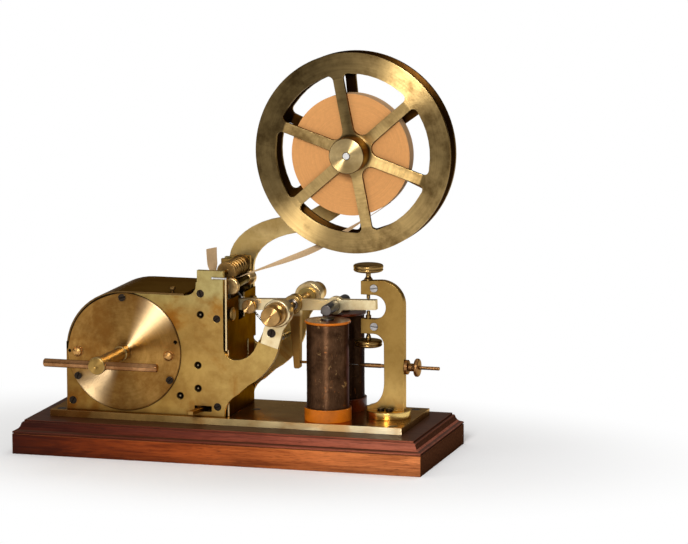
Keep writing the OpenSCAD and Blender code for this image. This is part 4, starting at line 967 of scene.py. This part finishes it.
def make_grooved_roller():
    """The roller with five grooves, its arbor and its pinion."""
    s = Shell()
    half = ROLLER_L / 2
    front, back = MID_Y - half, MID_Y + half
    grooves, teeth = 5, 12
    line = [(0, 0), (8.3, 0), (8.9, 0.5), (8.9, 3), (7.9, 3.6)]
    step = (ROLLER_L - 10) / grooves
    for i in range(grooves):
        line += [(7.9, 5 + i * step), (6.9, 5.3 + i * step), (6.9, 8.2 + i * step), (7.9, 8.5 + i * step)]
    line += [(7.9, ROLLER_L - 4), (8.9, ROLLER_L - 3), (8.9, ROLLER_L - 0.5), (8.3, ROLLER_L), (0, ROLLER_L)]
    s.lathe(line, on(ROLLER, front), "Y", 96, soft=0.12)
    axle_front, axle_back = front + 0.5, back - 0.5
    for line in ([(0, -38.4), (1.5, -38.4), (1.5, -34.2), (2, -34.2), (2, axle_front), (0, axle_front)],
                 [(0, axle_back), (2.5, axle_back), (2.5, 40.7), (1.5, 40.8), (1.5, 44.2), (0, 44.2)]):
        s.lathe(line, on(ROLLER, 0), "Y", 32)
    pinion = []
    for i in range(teeth):
        for share, r in ((-0.36, 5.9), (-0.2, 7.3), (0.2, 7.3), (0.36, 5.9)):
            a = TAU * (i + share) / teeth
            pinion.append((ROLLER[0] + r * math.cos(a), ROLLER[1] + r * math.sin(a)))
    s.prism([pinion], 35.2, 37.7)
    s.piece("grooved_roller_turned", "grooved_roller")


def make_lever_fittings():
    """The lever's arbor with its hub, and the iron bar over the coils."""
    s = Shell()
    s.lathe([(0, -30.5), (2.8, -30.5), (3.3, -30), (3.3, -3.6), (4.8, -3.4), (4.8, -2.4), (8.1, -2.4),
             (8.6, -1.9), (8.6, 0.42), (5, 0.42), (5, 7.58), (8.6, 7.58), (8.6, 9.9), (8.1, 10.4), (4.8, 10.4),
             (4.8, 11.4), (3.3, 11.6), (3.3, 36.5), (2.8, 37), (0, 37)], (0, 0, 0), "Y", 96, matrix=LEVER)
    s.piece("lever_arbor_turned", "lever_arbor")
    s = Shell()
    s.lathe([(0, -27), (4.4, -27), (5, -26.4), (5, 34.4), (4.4, 35), (0, 35)], (38.6, 0, -1.1), "Y", 64,
            soft=0.2, matrix=LEVER)
    s.piece("armature_bar", "armature")


def make_pivot_blocks():
    """Tapering blocks with a boss for the pivot screw; the back one mirrors the front one."""
    block = [(33.2, 105.2), (36.2, 118.5), (41.5, 131)] + arc(PIVOT, 11.8, 170, -20, 24)
    block += [(54, 117.6), (49.1, 100.4)]
    mirror = Matrix([(1, 0, 0, 0), (0, -1, 0, FRONT_Y + BACK_Y), (0, 0, 1, 0), (0, 0, 0, 1)])
    for side, m in (("front", Matrix.Identity(4)), ("back", mirror)):
        s = Shell()
        s.prism([block, circle((43.3, 114.6), 3.85, 40)], FRONT_Y, FRONT_Y + 1.2, m)
        s.prism([block], FRONT_Y + 1.22, FRONT_Y + 2.4, m)
        s.lathe([(4.1, 0), (11.4, 0), (12.4, 1), (12.4, 12), (4.1, 12)], on(PIVOT, FRONT_Y - 12), "Y", 96,
                matrix=m)
        s.piece(side + "_pivot_block_turned", side + "_pivot_block")


def make_bracket():
    """The contact bracket in four layers, with sinks for the clamping screws, on its round foot."""
    def outline(end):
        return ([(end, 158.4 + (end - 114.6) * 0.056), (132.5, 159.4)] + arc((132.3, 137.4), 22, 84, 0, 20)
                + [(154.3, 42.75), (120.3, 42.75), (120.3, 45.4)]
                + [tuple(p) for p in bezier([(122, 46.2), (131, 48), (136, 55), (136, 69)], 14)]
                + arc((125.8, 101.2), 10, 0, 90, 12) + [(end, 111.2), (end, 124.2)]
                + arc((126.6, 135.3), 11, -90, 90, 28) + [(end, 146.4)])

    s = Shell()
    jaw, slot_end = 114.6, 123.5
    sinks = [circle((126.6, z), 3.55, 40) for z in (152.2, 117.6)]
    s.prism([outline(jaw)] + sinks, 0, 1.4)
    s.prism([outline(jaw)], 1.41, 3.6)
    s.prism([outline(slot_end)], 3.61, 4.4)
    s.prism([outline(jaw)], 4.41, 8)
    s.lathe([(0, 36.22), (19.6, 36.22), (19.9, 36.5), (19.9, 42.3), (19.4, 42.8), (0, 42.8)], (139, MID_Y, 0),
            segments=120, soft=0.2)
    s.piece("contact_bracket_turned", "contact_bracket")


def make_windings():
    """The outer wrap laid as an overlapping strip, a little uneven."""
    z0, z1, inner, outer = 47.52, 123.48, 8.02, 19.2
    strip, lap_h, chamfer = 21.0, 0.16, 0.35
    rows_up = 96
    ring = unit_ring(128)
    for side, y in COILS.items():
        rows = [[(COIL_X + inner * c, y + inner * s, z0) for c, s in ring]]
        for k in range(rows_up + 1):
            h = z0 + (z1 - z0) * k / rows_up
            row = []
            for j, (c, s) in enumerate(ring):
                phase = ((h - z0) / strip - j / len(ring)) % 1.0
                lap = lap_h * max(0.0, 1 - phase * 9)
                wavy = 0.14 * (noise.noise(Vector((c * 1.7, s * 1.7, h * 0.06 + y))) - 0.5)
                crease = 0.05 * noise.noise(Vector((c * 14, s * 14, h * 0.35 + y)))
                r = outer - 0.22 + lap + wavy + crease
                if k in (0, rows_up):
                    r -= chamfer
                row.append((COIL_X + r * c, y + r * s, h))
            rows.append(row)
        rows.append([(COIL_X + inner * c, y + inner * s, z1) for c, s in ring])
        shell = Shell()
        shell.rings(rows, True)
        shell.piece(side + "_coil_wrap", side + "_winding", sharp=50)


def make_paper_roll():
    """Layers wound in one spiral, so that the side faces step in and out by hundredths of a millimetre."""
    y0, y1, bore, n = -3.3, 11.3, 9.7, 160
    ring = unit_ring(n)

    def hoop(radius, y):
        return [(ROLL[0] + radius * c, y, ROLL[1] + radius * s) for c, s in ring]

    def side_face(y, way):
        rows = []
        for k in range(89):
            r = bore + 0.2 + (ROLL_R - bore - 0.5) * k / 88
            row = []
            for j, (c, s) in enumerate(ring):
                turn = r / 1.5 + j / n
                step = 0.16 * noise.noise(Vector((math.floor(turn) * 7.3, way, 0.0)))
                dish = 0.25 * math.sin(math.pi * (r - bore) / (ROLL_R - bore))
                row.append((ROLL[0] + r * c, y - way * (0.22 + step + dish), ROLL[1] + r * s))
            rows.append(row)
        return rows

    edge = [hoop(ROLL_R, y) for y in (y0 + 0.3, y1 - 0.3)]
    inner = [hoop(bore, y) for y in (y1 - 0.4, y0 + 0.4)]
    shell = Shell()
    shell.rings(side_face(y0, -1) + edge + side_face(y1, 1)[::-1] + inner, True)
    shell.piece("paper_roll_wound", "paper_roll", sharp=40)


def tape_line():
    """Middle of the tape in XZ: off the roll, down to the rollers, round the grooved one, up to its end."""
    gap, nip = 0.2, 8.9 + 0.32    # tape's middle over the roll, and its radius on the grooved roller
    leave = arc(ROLL, ROLL_R + gap, -52, 0, 1)[0]
    line = bezier([leave, (124, 217), (99, 201.5), (76.9, 188.2)], 18)
    line += [p for p in bezier([(76.9, 188.2), (60, 179), (30, 169), (8, 160.1)], 24) if p.x < 76.8]
    line += [Vector(p) for p in arc(ROLLER, nip, -67.6, -100, 9)]
    line += [p for p in bezier([line[-1], (-15, 156.9), (-24, 155.5), (-24.7, 162)], 16) if p.x < -7]
    return line + bezier([(-24.9, 164), (-25.6, 168), (-25.9, 172), (-26.2, 181.7)], 10)


def make_tape():
    """The paper tape, twisted on its free stretches, a little cupped across."""
    line = tape_line()
    half_width, half_thick, across = 7, 0.1, [k / 8 * 2 - 1 for k in range(9)]
    # Twist in degrees: by X to the right of the rollers, by Z at the loose end
    right = [(6, 0), (20, 5), (45, 17), (65, 22), (85, 21), (105, 12), (125, 0)]
    left = [(159, 0), (163, 10), (167, 21), (181, 24)]
    rows = []
    for i, p in enumerate(line):
        d = around(line, i)
        a = math.radians(lookup(p.x, right) if p.x > -20 else lookup(p.y, left))
        wide = Vector((math.sin(a) * d.y, math.cos(a), -math.sin(a) * d.x))
        thin = Vector((math.cos(a) * d.y, -math.sin(a), -math.cos(a) * d.x))
        c = Vector((p.x, MID_Y, p.y))
        cup = 0.35 * min(1.0, abs(math.degrees(a)) / 15)
        top = [c + wide * half_width * t + thin * (half_thick - cup * (1 - t * t)) for t in across]
        low = [c + wide * half_width * t - thin * (half_thick + cup * (1 - t * t)) for t in reversed(across)]
        rows.append(top + low)
    shell = Shell()
    shell.rings(rows)
    shell.piece("tape_strip", "paper_tape", sharp=60)


for make in (make_pivot_screws, make_pivot_blocks, make_lever_fittings, make_contact_screws, make_bracket,
             make_reel_hub, make_key, make_grooved_roller, make_thumb_screws, make_stylus_knob, make_regulator,
             make_tension_spring, make_pressure_roller, make_windings, make_paper_roll, make_tape):
    make()


# Stage and light, in metres
FLOOR_HALF = 12
SHADOW = (0.13, 0.3)    # radii between which the floor fades from its shadow to plain white


def make_stage():
    """A floor that gives a shadow near the part and is plain white beyond it."""
    bm = bmesh.new()
    bmesh.ops.create_grid(bm, x_segments=1, y_segments=1, size=FLOOR_HALF)
    me = bpy.data.meshes.new("floor")
    bm.to_mesh(me)
    bm.free()
    floor = new_object("floor", me)
    g = Graph("floor_white", (0.55, 0.54, 0.53))
    path = g.add("LightPath").outputs
    mirror = g.plus(path["Is Glossy Ray"], path["Is Transmission Ray"], clamp=True)
    seen = g.plus(path["Is Camera Ray"], mirror, clamp=True)
    g.paint(seen, (1, 1, 1))
    g.set(Roughness=0.9, Specular_IOR_Level=0.0)
    x, y, _ = g.split()
    far = g.math("SQRT", g.plus(g.math("POWER", g.mul(x, 0.62), 2.0), g.math("POWER", y, 2.0)))
    white = g.add("MixShader", {0: g.mul(seen, g.span(far, *SHADOW, smooth=True)), 1: g.shader.outputs[0],
                                2: g.add("Emission").outputs[0]})
    g.link(white.outputs[0], g.out.inputs["Surface"])
    floor.data.materials.append(g.mat)


def make_world():
    """A dim studio: dark and warm below, grey above."""
    world = bpy.data.worlds.new("studio")
    scene.world = world
    world.use_nodes = True
    tree = world.node_tree
    tree.nodes.clear()
    out, sky, coord, parts, ramp = (tree.nodes.new("ShaderNode" + kind) for kind in
                                    ("OutputWorld", "Background", "TexCoord", "SeparateXYZ", "ValToRGB"))
    for a, b in ((sky.outputs[0], out.inputs[0]), (coord.outputs["Generated"], parts.inputs[0]),
                 (parts.outputs[2], ramp.inputs[0]), (ramp.outputs[0], sky.inputs[0])):
        tree.links.new(a, b)
    below, above = ramp.color_ramp.elements
    below.position, below.color = 0.12, (0.085, 0.07, 0.055, 1)
    above.position, above.color = 0.95, (0.55, 0.55, 0.55, 1)


def make_lamp(name, place, look_z, size, power):
    """A lamp that looks at a height over the part's middle; size in metres, power in watts."""
    data = bpy.data.lights.new(name, "AREA")
    data.shape = "RECTANGLE"
    data.size, data.size_y = size
    data.energy = power
    lamp = new_object(name, data)
    lamp.location = place
    lamp.rotation_euler = (Vector((0, 0, look_z)) - Vector(place)).to_track_quat("-Z", "Y").to_euler()


make_stage()
make_world()
make_lamp("key", (0.32, -2.20, 1.06), 0.14, (0.55, 0.55), 42)
make_lamp("fill", (-1.9, -1.3, 1.0), 0.12, (0.6, 1.2), 5)
make_lamp("top", (0.5, 0.7, 1.7), 0.15, (0.8, 0.8), 5)
